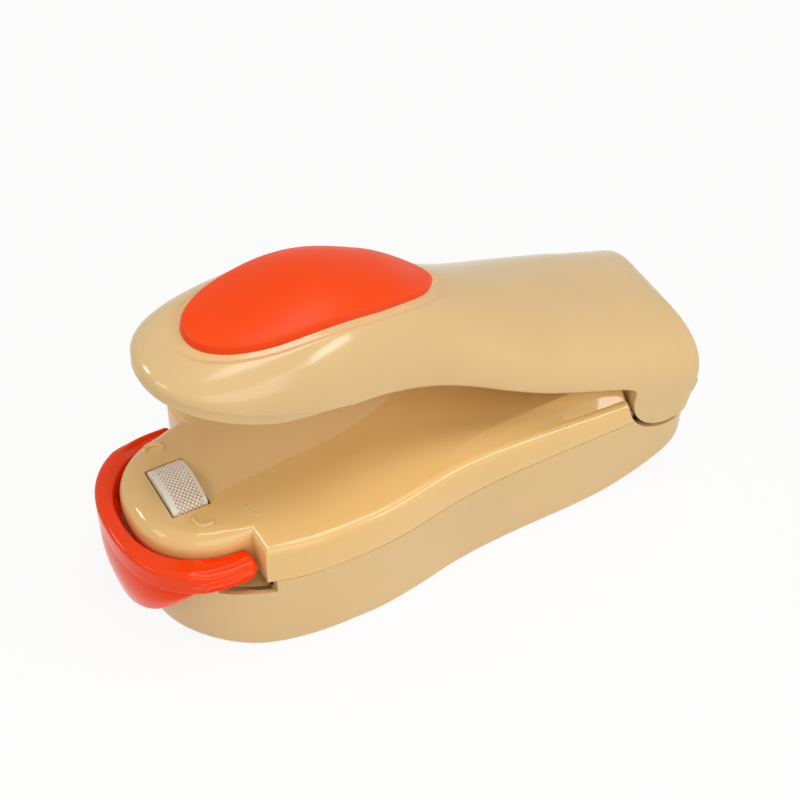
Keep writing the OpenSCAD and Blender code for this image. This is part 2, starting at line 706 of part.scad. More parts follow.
module return_spring() {
    // The high leg ends just under the arm's roof, which is turned up by the opening angle
    roof = [leg_reach, at(crest_table, hinge_y - leg_reach) - arm_wall - coil_wire_r - leg_gap - hinge_z];
    tip = [roof[1] * sin(arm_open) - roof[0] * cos(arm_open),
           roof[0] * sin(arm_open) + roof[1] * cos(arm_open)];
    // The coil stops where its tangent runs straight to that end
    sweep = 90 + atan2(tip[1], tip[0]) - acos(coil_r / norm(tip)) + 360 * coil_turns;
    n = ceil(sweep / 45);
    coil = [for (i = [0:n])
        let (a = -90 + sweep * i / n)
        [-coil_len / 2 + coil_len * i / n, coil_r * cos(a), coil_r * sin(a)]];
    low_leg = [[-coil_len / 2, deck_end_y - hinge_y + coil_wire_r + 0.1, -coil_r - 0.2]];
    high_leg = [[coil_len / 2, tip[0], tip[1]]];
    echo(return_spring_gap = least_gap(concat(low_leg, coil, high_leg), coil_wire_r));
    color(steel) translate([0, hinge_y, hinge_z])
        tube(concat(low_leg, coil, high_leg), coil_wire_r, [1, 0, 0]);
}

// Arm shell: height field over its outline, with a hanging band at the nose and ears at the hinge
function gauge(x, y) =
    let (w0 = arm_half[0][1], w1 = arm_half[len(arm_half) - 1][1])
    y < arm_nose_y ? pow(pow(abs(x) / w0, arm_nose_p)
                         + pow((arm_nose_y - y) / (arm_front + arm_nose_y), arm_nose_p), 1 / arm_nose_p)
    : y > arm_tail_y ? pow(pow(abs(x) / w1, arm_tail_p)
                           + pow((y - arm_tail_y) / (arm_back - arm_tail_y), arm_tail_p), 1 / arm_tail_p)
    : abs(x) / at(arm_half, y);
function dome(s, y) = let (b = at(bulge_table, y)) pow(max(1 - pow(min(s, 1), b), 0), 1 / b);
function arm_top(s, y, sink) =
    at(edge_table, y) + (at(crest_table, y) - sink - at(edge_table, y)) * dome(s, y);
function toward_spine(p, s) =
    let (c = min(max(p[1], arm_nose_y), arm_tail_y)) [p[0] * s, c + (p[1] - c) * s];
function arm_ring(outline, s, sink) =
    [for (p = outline) let (q = toward_spine(p, s)) [q[0], q[1], arm_top(s, q[1], sink)]];
function rim_ring(outline) = [for (p = outline) [p[0], p[1], at(edge_table, p[1]) - at(skirt_table, p[1])]];
function level(k, n) = pow(cos(90 * k / n), 0.8);

module arm_shell() {
    outer_rings = [for (k = [0:arm_levels - 1]) arm_ring(arm_outline, level(k, arm_levels), 0)];
    inner_rings = [for (k = [5:-1:0]) arm_ring(arm_inner, level(k, 6), arm_wall)];
    color(cream) arm_pose() difference() {
        union() {
            skin(concat(inner_rings, [rim_ring(arm_inner), rim_ring(inset(arm_outline, lip))], outer_rings));
            both() {
                // Ear: the lower part of a thick disc with a soft outer edge, tied to the side wall above it
                intersection() {
                    translate([ear_in, hinge_y, hinge_z]) rotate([0, 90, 0]) rotate_extrude() difference() {
                        square([ear_r, ear_t - ear_sink]);
                        translate([ear_r - 1, ear_t - ear_sink - 1]) difference() {
                            square(2);
                            circle(1);
                        }
                    }
                    box([0, hinge_y - 2 * ear_r, hinge_z - 2 * ear_r],
                        [bulb_w, hinge_y + 2 * ear_r, hinge_z + 1.4]);
                }
                box([ear_in, hinge_y - ear_r, hinge_z], [rear_half - 0.5, hinge_y + 2, hinge_z + 2.8]);
            }
            // Curved foot of the rear wall
            intersection() {
                difference() {
                    x_rod(ear_r, -ear_in - eps, ear_in + eps, hinge_y, hinge_z);
                    x_rod(ear_r - 1.5, -ear_in - 1, ear_in + 1, hinge_y, hinge_z);
                }
                box([-bulb_w, hinge_y + 5.4, hinge_z - 2.9], [bulb_w, arm_rear + 1, hinge_z + 1]);
            }
            for (y = arm_screw_y)
                z_rod(arm_boss_r, 0, y, liner_z + liner_t, arm_top(arm_boss_r / at(arm_half, y), y, 0) - 0.9);
        }
        for (y = arm_screw_y) z_rod(screw_r + turn, 0, y, liner_z, liner_z + arm_screw_len);
        for (y = peg_y) z_rod(peg_r + turn, 0, y, liner_z + 3, at(crest_table, y) + 3);
        x_rod(pin_r + turn, -pin_reach - 0.3, pin_reach + 0.3, hinge_y, hinge_z);
    }
}

// Liner: a plate inside the arm that carries the press block
liner_outline = [for (p = arm_outline) if (p[1] < liner_end) toward_spine(p, liner_fill)];

module arm_liner() {
    color(cream) arm_pose() difference() {
        union() {
            translate([0, 0, liner_z]) linear_extrude(liner_t) polygon(liner_outline);
            box([-press_half[0], heat_y - press_half[1], press_z],
                [press_half[0], heat_y + press_half[1], liner_z + 1]);
        }
        for (y = arm_screw_y) z_rod(screw_r + 0.2, 0, y, liner_z - 1, liner_z + 2 * liner_t);
    }
}

module pressure_pad() {
    color([0.80, 0.78, 0.74]) arm_pose()
        box([-silicone_half[0], heat_y - silicone_half[1], silicone_z],
            [silicone_half[0], heat_y + silicone_half[1], press_z]);
}

module arm_screws() {
    color(steel) arm_pose() for (y = arm_screw_y)
        translate([0, y, liner_z - screw_head_h]) screw(screw_head_h + arm_screw_len - 0.6);
}

// Thumb pad: an oval inlay that follows the arm's crown and plugs in with two pegs
pad_front = corner(pad_p, 14);
pad_back = corner(pad_tail_p, 14);
pad_half = concat([for (c = pad_front) [pad_w / 2 * c[0], pad_y + pad_blunt * c[1]]],
                  [for (i = [13:-1:0])
                      [pad_w / 2 * pad_back[i][0], pad_y - (pad_len - pad_blunt) * pad_back[i][1]]]);
function pad_ring(s, lift) =
    [for (p = closed(pad_half))
        let (x = p[0] * s, y = pad_y + (p[1] - pad_y) * s) [x, y, arm_top(gauge(x, y), y, 0) + lift]];

module thumb_pad() {
    color(orange) arm_pose() {
        skin(concat([for (s = [0.2, 0.5, 0.8, 1]) pad_ring(s, pad_gap)],
                    [pad_ring(1, pad_t - 0.5), pad_ring(0.96, pad_t)],
                    [for (s = [0.8, 0.5, 0.2]) pad_ring(s, pad_t)]));
        for (y = peg_y)
            let (z = arm_top(gauge(0, y), y, 0)) z_rod(peg_r, 0, y, z - arm_wall - 0.6, z + pad_t / 2);
    }
}

base_lower_case();
base_deck();
battery_door();
aa_cells();
link_plate();
terminal_plates();
battery_springs();
case_screws();
safety_lock();
lock_pins();
heater_block();
heater_ribbon();
heater_cover();
heater_springs();
switch_leaf();
switch_anvil();
switch_screw();
lead_wires();
hinge_pin();
return_spring();
arm_shell();
arm_liner();
pressure_pad();
thumb_pad();
arm_screws();
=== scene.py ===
"""Hand-held bag sealer: a cream battery base with a cloth-covered heater, a sprung press arm and an orange lock.
Lengths are millimetres in the part's own frame (nose to -Y, hinge at +Y, resting on Z = 0) until a mesh is made."""
from math import acos, atan2, cos, degrees, exp, hypot, pi, radians, sin, sqrt

import bmesh
import bpy
from mathutils import Matrix, Vector


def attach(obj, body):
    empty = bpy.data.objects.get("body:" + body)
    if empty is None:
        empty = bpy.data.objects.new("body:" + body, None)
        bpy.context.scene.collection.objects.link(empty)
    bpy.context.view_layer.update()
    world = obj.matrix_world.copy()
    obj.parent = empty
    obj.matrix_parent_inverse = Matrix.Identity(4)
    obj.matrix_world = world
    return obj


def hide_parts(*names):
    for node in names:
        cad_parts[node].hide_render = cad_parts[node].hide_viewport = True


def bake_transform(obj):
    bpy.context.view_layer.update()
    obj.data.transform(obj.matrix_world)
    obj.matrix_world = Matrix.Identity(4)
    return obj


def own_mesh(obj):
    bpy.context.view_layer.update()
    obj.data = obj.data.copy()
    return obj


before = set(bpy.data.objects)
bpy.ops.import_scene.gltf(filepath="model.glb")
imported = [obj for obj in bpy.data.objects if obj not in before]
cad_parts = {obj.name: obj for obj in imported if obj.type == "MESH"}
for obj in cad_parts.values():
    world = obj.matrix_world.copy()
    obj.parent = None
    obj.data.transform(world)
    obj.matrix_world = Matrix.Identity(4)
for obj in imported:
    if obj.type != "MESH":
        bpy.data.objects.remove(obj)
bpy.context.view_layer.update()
scene = bpy.context.scene
scene.view_settings.view_transform = "Standard"


# Camera
# Looks down at the near front side of the sealer at 45 degrees, with a long lens as in a catalogue picture.
def put(name, data):
    """A new object in the scene."""
    thing = bpy.data.objects.new(name, data)
    scene.collection.objects.link(thing)
    return thing


lens = bpy.data.cameras.new("catalogue_lens")
lens.sensor_width = 36.0
lens.lens = 94.5
camera = put("catalogue_camera", lens)
camera.location = (0.2175, -0.11687, 0.27126)
camera.rotation_euler = (radians(45.0), 0.0, radians(61.5))
scene.camera = camera


# Studio
# A white paper floor under soft boxes: the room is white to the eye and dim to the light, so that the
# plastic keeps its colour and the paper keeps the shadow.
def given(node, values):
    """Sets a node's inputs, by name or number."""
    for key, value in values.items():
        node.inputs[key].default_value = value
    return node


def placed(nodes, kind, values):
    return given(nodes.new(kind), values)


def reckoned(nodes, operation, values):
    node = placed(nodes, "ShaderNodeMath", values)
    node.operation = operation
    return node


def wired(*runs):
    """Links, each given as node, output, node, input."""
    for source, out, target, into in runs:
        source.id_data.links.new(source.outputs[out], target.inputs[into])


def white_to_the_eye(nodes, plain, white, share, end):
    """Plain shader for the light; rays from the camera, or by way of gloss or glass, see a share of a white one."""
    nodes.clear()
    rays = nodes.new("ShaderNodeLightPath")
    seen = (rays, "Is Camera Ray")
    for kind in ("Is Glossy Ray", "Is Transmission Ray"):
        either = reckoned(nodes, "MAXIMUM", {})
        wired((*seen, either, 0), (rays, kind, either, 1))
        seen = (either, 0)
    part = reckoned(nodes, "MULTIPLY", {1: share})
    mix = nodes.new("ShaderNodeMixShader")
    wired((*seen, part, 0), (part, 0, mix, "Fac"), (placed(nodes, *plain), 0, mix, 1),
          (placed(nodes, *white), 0, mix, 2), (mix, 0, nodes.new(end), "Surface"))


def soft_box(name, place, target, size, watts, tint=(1.0, 1.0, 1.0)):
    lamp = bpy.data.lights.new(name, "AREA")
    lamp.shape = "RECTANGLE"
    lamp.size, lamp.size_y = size
    lamp.energy = watts
    lamp.color = tint
    box = put(name, lamp)
    box.location = place
    box.rotation_euler = (Vector(target) - Vector(place)).to_track_quat("-Z", "Y").to_euler()


world = bpy.data.worlds.new("white_room")
scene.world = world
world.use_nodes = True
dim = ("ShaderNodeBackground", {"Color": (1.0, 0.95, 0.87, 1.0), "Strength": 0.18})
bright = ("ShaderNodeBackground", {"Color": (1.0, 1.0, 1.0, 1.0), "Strength": 1.0})
white_to_the_eye(world.node_tree.nodes, dim, bright, 1.0, "ShaderNodeOutputWorld")

# Most of what the eye sees of the paper is plain white; the rest keeps the shadow.
FLOOR_HALF, WHITE_SHARE = 3.0, 0.90
square = bpy.data.meshes.new("paper_floor")
corners = [(FLOOR_HALF * x, FLOOR_HALF * y, 0.0) for x, y in ((-1, -1), (1, -1), (1, 1), (-1, 1))]
square.from_pydata(corners, [], [(0, 1, 2, 3)])
paper = bpy.data.materials.new("white_paper")
paper.use_nodes = True
sheet = ("ShaderNodeBsdfDiffuse", {"Color": (0.93, 0.93, 0.93, 1.0)})
glow = ("ShaderNodeEmission", {"Strength": 1.0})
white_to_the_eye(paper.node_tree.nodes, sheet, glow, WHITE_SHARE, "ShaderNodeOutputMaterial")
square.materials.append(paper)
floor = put("paper_floor", square)
soft_box("key_window", (0.06, 0.08, 0.58), (0.0, 0.0, 0.02), (0.30, 0.34), 1.42)
soft_box("side_box", (0.51, 0.34, 0.43), (0.0, 0.0, 0.04), (0.30, 0.14), 1.05)
soft_box("near_box", (0.66, -0.16, 0.36), (0.0, 0.0, 0.03), (0.60, 0.44), 1.46)
soft_box("nose_box", (-0.02, -0.66, 0.40), (0.0, -0.02, 0.02), (0.24, 0.24), 0.68, (1.0, 0.94, 0.84))
soft_box("far_box", (-0.35, -0.46, 0.36), (0.0, -0.04, 0.02), (0.12, 0.12), 0.60)


# Lower case of the base
# A glossy cream ABS tub, wide behind the nose and narrow at the hinge, moulded in one shot with the battery
# bay walls inside. Four screws from below hold it to the deck; a shallow relief takes each end of the lock.
BULB_HALF, WAIST_HALF, REAR_HALF = 20.9, 16.9, 16.7
CASE_FRONT, CASE_REAR, PART_Z, WALL = -46.8, 51.2, 15.6, 1.6
BASE_NOSE_Y, BASE_TAIL_Y = -19.0, 42.0
BASE_HALF = [(BASE_NOSE_Y, BULB_HALF), (-13, BULB_HALF - 0.1), (-6, BULB_HALF - 1.1), (2, WAIST_HALF + 1.3),
             (10, WAIST_HALF + 0.4), (20, WAIST_HALF), (32, REAR_HALF), (BASE_TAIL_Y, REAR_HALF - 0.1)]
STERN_R, STERN_Y = 28.0, CASE_REAR - 20.2
HINGE_Y, HINGE_Z, EAR_R, EAR_GAP = 44.6, 20.2, 7.4, 0.8
STEP_Y, NOSE_HALF, NOSE_LEN = -32.9, 13.9, 15.3
NOTCH_Y, NOTCH_LEN, NOTCH_DEPTH = -31.4, 8.4, 2.4
BAY_FRONT, BAY_REAR, BAY_WALL, FLOOR_Z = -20.3, 36.0, 1.2, 2.05
DOOR_HALF, DOOR_LIP, DOOR_LIP_HALF = 14.6, 1.3, 12.3
FRONT_SCREW, REAR_SCREW, SCREW_WELL_R = (15.2, -27.0), (8.8, 44.4), 2.3
NOSE_POWER, TAIL_POWER, BOW_COUNT, SIDE_STEP = 2.3, 4.0, 40, 0.8
# Insets and distances from the parting line, round the edge of each half of the base.
SEAM_ROUND = [(0.02, 0.3), (0.08, 0.12), (0.26, 0.01), (WALL, 0.01)]
CREAM_PALE, CREAM_DEEP = (0.80, 0.555, 0.255), (0.76, 0.52, 0.235)
SHARP, MM = 32.0, 0.001


def clamp(u):
    return min(max(u, 0.0), 1.0)


def smooth(u):
    """Eased step from 0 to 1."""
    u = clamp(u)
    return u * u * (3 - 2 * u)


def reading(table, y):
    """Smooth value of a table of (place, value) pairs."""
    last = len(table) - 1
    i = 0
    while i < last - 1 and y >= table[i + 1][0]:
        i += 1

    def slope(k):
        a, b = table[max(k - 1, 0)], table[min(k + 1, last)]
        return (b[1] - a[1]) / (b[0] - a[0])

    h = table[i + 1][0] - table[i][0]
    u = clamp((y - table[i][0]) / h)
    return ((1 + 2 * u) * (1 - u) ** 2 * table[i][1] + u * (1 - u) ** 2 * h * slope(i)
            + u * u * (3 - 2 * u) * table[i + 1][1] + u * u * (u - 1) * h * slope(i + 1))


def bow(power, half_width, length, count):
    """Quarter of a squared ellipse, from the side (half_width, 0) to the tip (0, length)."""
    points = []
    for k in range(count + 1):
        c, s = cos(pi / 2 * k / count), sin(pi / 2 * k / count)
        reach = (max(c, 0.0) ** power + s ** power) ** (-1 / power)
        points.append((half_width * reach * c if k < count else 0.0, length * reach * s))
    return points


def prow(y0, power, half_width, length, count):
    """Front bow of an outline ahead of y0, from its tip to the side."""
    return [(x, y0 - y) for x, y in reversed(bow(power, half_width, length, count))]


def gauge(across, along, power):
    """1 on a squared ellipse, less inside it; places are shares of its axes."""
    return (abs(across) ** power + abs(along) ** power) ** (1 / power)


def half_outline(table, rear, rear_power):
    """Right half of an outline of the base, from its front tip to its rear tip."""
    (y0, w0), (y1, w1) = table[0], table[-1]
    sides = int((y1 - y0) / SIDE_STEP)
    nose = prow(y0, NOSE_POWER, w0, y0 - CASE_FRONT, BOW_COUNT)
    side = [(reading(table, y), y) for y in (y0 + (y1 - y0) * k / sides for k in range(1, sides))]
    tail = [(x, y1 + y) for x, y in bow(rear_power, w1, rear - y1, BOW_COUNT)]
    return nose + side + tail


def closed(half):
    return half + [(-x, y) for x, y in reversed(half[1:-1])]


def inset(loop, depth):
    """Outline moved inward, with its corners kept; depth is a number or a rule of y."""
    n = len(loop)
    moved = []
    for i, (x, y) in enumerate(loop):
        ax, ay = loop[i - 1]
        bx, by = loop[(i + 1) % n]
        n1 = Vector((y - ay, ax - x)).normalized()
        n2 = Vector((by - y, x - bx)).normalized()
        d = depth(y) if callable(depth) else depth
        shift = (n1 + n2) * (d / max(1.0 + n1.dot(n2), 0.4))
        moved.append((x - shift.x, y - shift.y))
    return moved


def bands(rings, n):
    """Faces between stacked closed rings of n points."""
    return [(k * n + i, k * n + (i + 1) % n, (k + 1) * n + (i + 1) % n, (k + 1) * n + i)
            for k in range(rings - 1) for i in range(n)]


def between(low, high, u):
    """Ring at the share u of the way from one ring to another."""
    return [tuple(a + (b - a) * u for a, b in zip(p, q)) for p, q in zip(low, high)]


def skin(rings, flat_end=False):
    """Points and faces between stacked closed rings that start at the front tip. The ends are closed across X, or
    the last one by a single flat face."""
    n = len(rings[0])
    points = [p for ring in rings for p in ring]
    faces = bands(len(rings), n)
    end = (len(rings) - 1) * n
    for base in (0,) if flat_end else (0, end):
        for i in range(n // 2):
            a, b, c, d = base + i, base + i + 1, base + (n - i - 1) % n, base + (n - i) % n
            faces.append((a, b, c) if a == d else (a, b, d) if b == c else (a, b, c, d))
    if flat_end:
        faces.append(tuple(range(end, end + n)))
    return points, faces


def made(name, points, faces, sharp=SHARP):
    """A mesh object from millimetre points."""
    mesh = bpy.data.meshes.new(name)
    mesh.from_pydata([Vector(p) * MM for p in points], [], faces)
    piece = put(name, mesh)
    tidied(piece, sharp)
    return piece


def tidied(piece, sharp, more=None):
    """Adds a mesh if given, merges doubled points, turns faces outward and marks crisp edges."""
    work = bmesh.new()
    work.from_mesh(piece.data)
    if more:
        work.from_mesh(more)
    bmesh.ops.remove_doubles(work, verts=work.verts, dist=1e-7)
    bmesh.ops.recalc_face_normals(work, faces=work.faces)
    work.to_mesh(piece.data)
    work.free()
    piece.data.shade_smooth()
    piece.data.set_sharp_from_angle(angle=radians(sharp))


def block(low, high, bevel=0.0):
    """Points and faces of a box, its edges rounded where a bevel is given."""
    work = bmesh.new()
    bmesh.ops.create_cube(work, size=1.0)
    for v in work.verts:
        v.co = Vector([(low[k] + high[k]) / 2 + v.co[k] * (high[k] - low[k]) for k in range(3)])
    if bevel:
        bmesh.ops.bevel(work, geom=work.edges[:], offset=bevel, segments=3, affect="EDGES", profile=0.5)
    return drained(work)


def rod(axis, radius, start, end, across, bevel=0.0, sides=72):
    """Points and faces of a round bar along x or z; across gives its two other coordinates in X, Y, Z order."""
    work = bmesh.new()
    bmesh.ops.create_cone(work, cap_ends=True, segments=sides, radius1=radius, radius2=radius, depth=end - start)
    if bevel:
        rims = [e for e in work.edges if abs(e.verts[0].co.z - e.verts[1].co.z) < 1e-6]
        bmesh.ops.bevel(work, geom=rims, offset=bevel, segments=4, affect="EDGES", profile=0.5)
    turn = Matrix.Rotation(pi / 2, 4, "Y") if axis == "x" else Matrix()
    middle = list(across)
    middle.insert("xyz".index(axis), (start + end) / 2)
    bmesh.ops.transform(work, matrix=Matrix.Translation(Vector(middle)) @ turn, verts=work.verts)
    return drained(work)


def drained(work):
    work.verts.index_update()
    points = [tuple(v.co) for v in work.verts]
    faces = [tuple(v.index for v in f.verts) for f in work.faces]
    work.free()
    return points, faces


def gathered(*solids):
    """Several sets of points and faces as one."""
    points, faces = [], []
    for more_points, more_faces in solids:
        faces += [tuple(i + len(points) for i in face) for face in more_faces]
        points += more_points
    return points, faces


def mirrored(solid):
    points, faces = solid
    return gathered(solid, ([(-x, y, z) for x, y, z in points], [tuple(reversed(f)) for f in faces]))


def settled(piece):
    """Makes what a piece's modifiers do its plain mesh."""
    result = bpy.data.meshes.new_from_object(piece.evaluated_get(bpy.context.evaluated_depsgraph_get()))
    piece.modifiers.clear()
    piece.data = result


def carved(piece, *cutters, sharp=SHARP):
    """Cuts each set of points and faces out of a piece."""
    tools = [made("cutter", *cutter) for cutter in cutters]
    for tool in tools:
        cut = piece.modifiers.new("cut", "BOOLEAN")
        cut.operation, cut.solver, cut.object = "DIFFERENCE", "EXACT", tool
    settled(piece)
    for tool in tools:
        bpy.data.objects.remove(tool)
    tidied(piece, sharp)


def joined(piece, solid, sharp=SHARP):
    """Adds another set of points and faces to a piece."""
    more = bpy.data.meshes.new("addition")
    more.from_pydata([Vector(p) * MM for p in solid[0]], [], solid[1])
    tidied(piece, sharp, more)
    bpy.data.meshes.remove(more)


def stern(y):
    return 0.0 if y < STERN_Y else STERN_R - sqrt(STERN_R ** 2 - (y - STERN_Y) ** 2)


def fuller(y):
    """The bottom edge is rounder under the nose and at the stern."""
    return 1.0 + 1.3 * smooth((-33.0 - y) / 11.0) + 1.4 * smooth((y - 24.0) / 18.0)


def case_level(depth, z):
    return [(x, y, min(stern(y) + z, PART_Z - 1.5)) for x, y in inset(base_loop, depth)]


def foot_level(depth, z):
    ring = inset(base_loop, lambda y: depth * fuller(y))
    return [(x, y, min(stern(y) + z * fuller(y), PART_Z - 1.5)) for x, y in ring]


def flat_level(loop, depth, z):
    return [(x, y, z) for x, y in inset(loop, depth)]


base_loop = closed(half_outline(BASE_HALF, CASE_REAR, TAIL_POWER))
bottom_round = [(1.05 - 0.93 * sin(radians(a)), 1.0 - cos(radians(a))) for a in range(0, 91, 9)]
case_rings = [foot_level(1.15, 0.0)] + [foot_level(d, z) for d, z in bottom_round]
case_edge = [flat_level(base_loop, depth, PART_Z - gap) for depth, gap in SEAM_ROUND]
case_rings += [between(case_rings[-1], case_edge[0], u) for u in (0.25, 0.5, 0.75, 1.0)]
case_rings += case_edge[1:] + [case_level(WALL + 0.3, 2.8), case_level(WALL + 1.0, 1.8)]
lower_case = made("cream_lower_case", *skin(case_rings))
door_mouth = block((-DOOR_HALF, BAY_FRONT, -1.0), (DOOR_HALF, BAY_REAR, FLOOR_Z))
door_lips = block((-DOOR_LIP_HALF, BAY_FRONT - DOOR_LIP, -1.0), (DOOR_LIP_HALF, BAY_REAR + DOOR_LIP, FLOOR_Z))
relief = mirrored(block((NOSE_HALF - 0.6, NOTCH_Y - NOTCH_LEN, PART_Z - NOTCH_DEPTH), (30.0, NOTCH_Y, PART_Z + 1.0)))
screw_wells = gathered(mirrored(rod("z", SCREW_WELL_R, -1.0, 2.4, FRONT_SCREW)),
                       mirrored(rod("z", SCREW_WELL_R, -1.0, 6.5, REAR_SCREW)))
ear_room = rod("x", EAR_R + EAR_GAP, -30.0, 30.0, (HINGE_Y, HINGE_Z), sides=128)
carved(lower_case, door_mouth, door_lips, relief, screw_wells, ear_room)


def prism(half, low, high):
    """Upright solid on a symmetric outline, given by its right half."""
    return skin([[(x, y, z) for x, y in closed(half)] for z in (low, high)])


# The ledge inside the case round the deck's nose makes the floor and the back of the lock's reliefs.
ledge_rim = [p for p in inset(base_loop, WALL / 2)[:len(base_loop) // 2] if p[1] < STEP_Y + WALL]
ledge = made("ledge", *prism(ledge_rim + [(0.0, ledge_rim[-1][1])], PART_Z - 4.0, PART_Z - 0.06))
nose_room = prow(STEP_Y, NOSE_POWER, NOSE_HALF - WALL, NOSE_LEN - WALL, 24)
carved(ledge, prism(nose_room + [(NOSE_HALF - WALL, 0.0), (0.0, 0.0)], 0.0, 30.0), relief)
ledge_points = [tuple(v.co * 1000.0) for v in ledge.data.vertices]
joined(lower_case, (ledge_points, [tuple(p.vertices) for p in ledge.data.polygons]))
bpy.data.objects.remove(ledge)
# A low lip of the case runs just under the edge of the nose.
LIP_OUT, LIP_END_Y = 0.7, -40.5
lip = [p for p in prow(STEP_Y, NOSE_POWER, NOSE_HALF + LIP_OUT, NOSE_LEN + LIP_OUT, 60) if p[1] < LIP_END_Y]
joined(lower_case, prism(lip + [(0.0, lip[-1][1])], PART_Z - 1.0, PART_Z - 0.1))
front_wall = block((-BULB_HALF + 1, BAY_FRONT - BAY_WALL, FLOOR_Z), (BULB_HALF - 1, BAY_FRONT, PART_Z - 0.5))
rear_wall = block((-REAR_HALF + 0.8, BAY_REAR, FLOOR_Z), (REAR_HALF - 0.8, BAY_REAR + BAY_WALL, PART_Z - 2.5))
joined(lower_case, gathered(front_wall, rear_wall))


def blank(name, values):
    """A new material, its nodes and its shader with the given values."""
    material = bpy.data.materials.new(name)
    material.use_nodes = True
    nodes = material.node_tree.nodes
    return material, nodes, given(nodes["Principled BSDF"], values)


def noise(nodes, scale, detail):
    return placed(nodes, "ShaderNodeTexNoise", {"Scale": scale, "Detail": detail})


def span(nodes, low_high):
    return placed(nodes, "ShaderNodeMapRange", {"To Min": low_high[0], "To Max": low_high[1]})


def ramp(nodes, places, dark, pale):
    tone = nodes.new("ShaderNodeValToRGB")
    for stop, place, colour in zip(tone.color_ramp.elements, places, (dark, pale)):
        stop.position, stop.color = place, (*colour, 1.0)
    return tone


def moulded_plastic(name, pale, deep, roughness, sink, shine=0.5):
    """Moulded plastic: a slight drift of tone through the wall, flow marks in the gloss, a faint skin."""
    material, nodes, shader = blank(name, {
        "Subsurface Weight": sink, "Subsurface Radius": (1.0, 0.55, 0.25), "Subsurface Scale": 0.0015,
        "Specular IOR Level": shine})
    place = nodes.new("ShaderNodeTexCoord")
    drift, flow, grain = noise(nodes, 38.0, 3.0), noise(nodes, 120.0, 4.0), noise(nodes, 1400.0, 2.0)
    tone = ramp(nodes, (0.32, 0.70), deep, pale)
    gloss = span(nodes, roughness)
    skin_bump = placed(nodes, "ShaderNodeBump", {"Strength": 0.05, "Distance": 0.00006})
    for texture in (drift, flow, grain):
        wired((place, "Object", texture, "Vector"))
    wired((drift, "Fac", tone, "Fac"), (tone, "Color", shader, "Base Color"),
          (flow, "Fac", gloss, "Value"), (gloss, "Result", shader, "Roughness"),
          (grain, "Fac", skin_bump, "Height"), (skin_bump, "Normal", shader, "Normal"))
    return material


cream_gloss = moulded_plastic("cream_gloss_abs", CREAM_PALE, CREAM_DEEP, (0.07, 0.13), 0.15)
lower_case.data.materials.append(cream_gloss)
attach(lower_case, "base")
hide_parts("base_lower_case")


# Deck of the base
# The cream top shell: stepped in at the nose to let the lock pass, creased along the rear shoulders, with the
# heater slot, raised C ridges beside it and the bosses that hold the hinge pin. It closes down on the case.
DECK_Z, SHOULDER_DROP, DECK_END_Y = 23.3, 3.1, 38.9
EDGE_DROP = [(-10, 0), (2, 0.1), (16, 0.45 * SHOULDER_DROP), (36, SHOULDER_DROP), (60, SHOULDER_DROP)]
CREASE_IN = [(-30, 2.2), (-10, 2.4), (0, 2.9), (10, 4.6), (60, 5.0)]
HEAT_Y, SLOT_HALF_X, SLOT_HALF_Y = -39.4, 5.71, 3.35
BOSS_R, BOSS_IN, BOSS_OUT = 4.4, 4.6, 12.1
EDGE_ROUND, NOSE_ROUND, DECK_SHARP = 1.6, 3.1, 28.0
# Centre, radius, first angle, sweep, half width and rise of each ridge.
RIDGES = [((8.0, -38.4), 1.6, -150, 215, 0.42, 0.46), ((-9.2, -39.4), 1.6, 60, 215, 0.42, 0.46),
          ((9.4, -29.4), 2.2, -120, 110, 0.26, 0.18)]
deck_nose = prow(STEP_Y, NOSE_POWER, NOSE_HALF, NOSE_LEN, 48)
long_side = half_outline(BASE_HALF + [(CASE_REAR, REAR_HALF - 0.2)], CASE_REAR + 12, NOSE_POWER)
reach = (BASE_NOSE_Y - STEP_Y) / (BASE_NOSE_Y - CASE_FRONT)
step_half = BULB_HALF * (1 - reach ** NOSE_POWER) ** (1 / NOSE_POWER)
deck_loop = closed(deck_nose + [(step_half, STEP_Y + 0.02)] + [p for p in long_side if p[1] > STEP_Y + 3.6])
edge_arc = [radians(a) for a in range(0, 91, 10)]


def edge_round(y):
    """The nose has a softer edge than the sides."""
    return EDGE_ROUND + (NOSE_ROUND - EDGE_ROUND) * clamp((STEP_Y - y - 0.5) / 4.0)


def crease_depth(y):
    return max(reading(CREASE_IN, y), edge_round(y) + 0.4)


def deck_level(depth, below):
    return [(x, y, DECK_Z - reading(EDGE_DROP, y) - below) for x, y in inset(deck_loop, depth)]


def round_level(a):
    ring = inset(deck_loop, lambda y: edge_round(y) * (1 - cos(a)) + 0.02)
    return [(x, y, DECK_Z - reading(EDGE_DROP, qy) - edge_round(qy) * (1 - sin(a)))
            for (x, y), (qx, qy) in zip(ring, deck_loop)]


deck_rings = [deck_level(WALL + 1.0, 2.0), flat_level(deck_loop, WALL, PART_Z + 1.0)]
deck_rings += [flat_level(deck_loop, depth, PART_Z + gap) for depth, gap in reversed(SEAM_ROUND)]
deck_rings += [round_level(a) for a in edge_arc]
shoulder = deck_rings[-1]
crease = flat_level(deck_loop, crease_depth, DECK_Z)
deck_rings += [between(shoulder, crease, u) for u in (0.35, 0.7, 0.93)]
deck_rings += [crease, flat_level(deck_loop, lambda y: crease_depth(y) + 0.5, DECK_Z)]
deck = made("cream_deck", *skin(deck_rings, flat_end=True), sharp=DECK_SHARP)
heater_slot = block((-SLOT_HALF_X, HEAT_Y - SLOT_HALF_Y, 15.0), (SLOT_HALF_X, HEAT_Y + SLOT_HALF_Y, DECK_Z + 2.0))
square_end = block((-40.0, DECK_END_Y, 0.0), (40.0, 90.0, 60.0))
side_room = mirrored(rod("x", EAR_R + EAR_GAP, BOSS_OUT, 30.0, (HINGE_Y, HINGE_Z), sides=128))
carved(deck, heater_slot, square_end, side_room, sharp=DECK_SHARP)
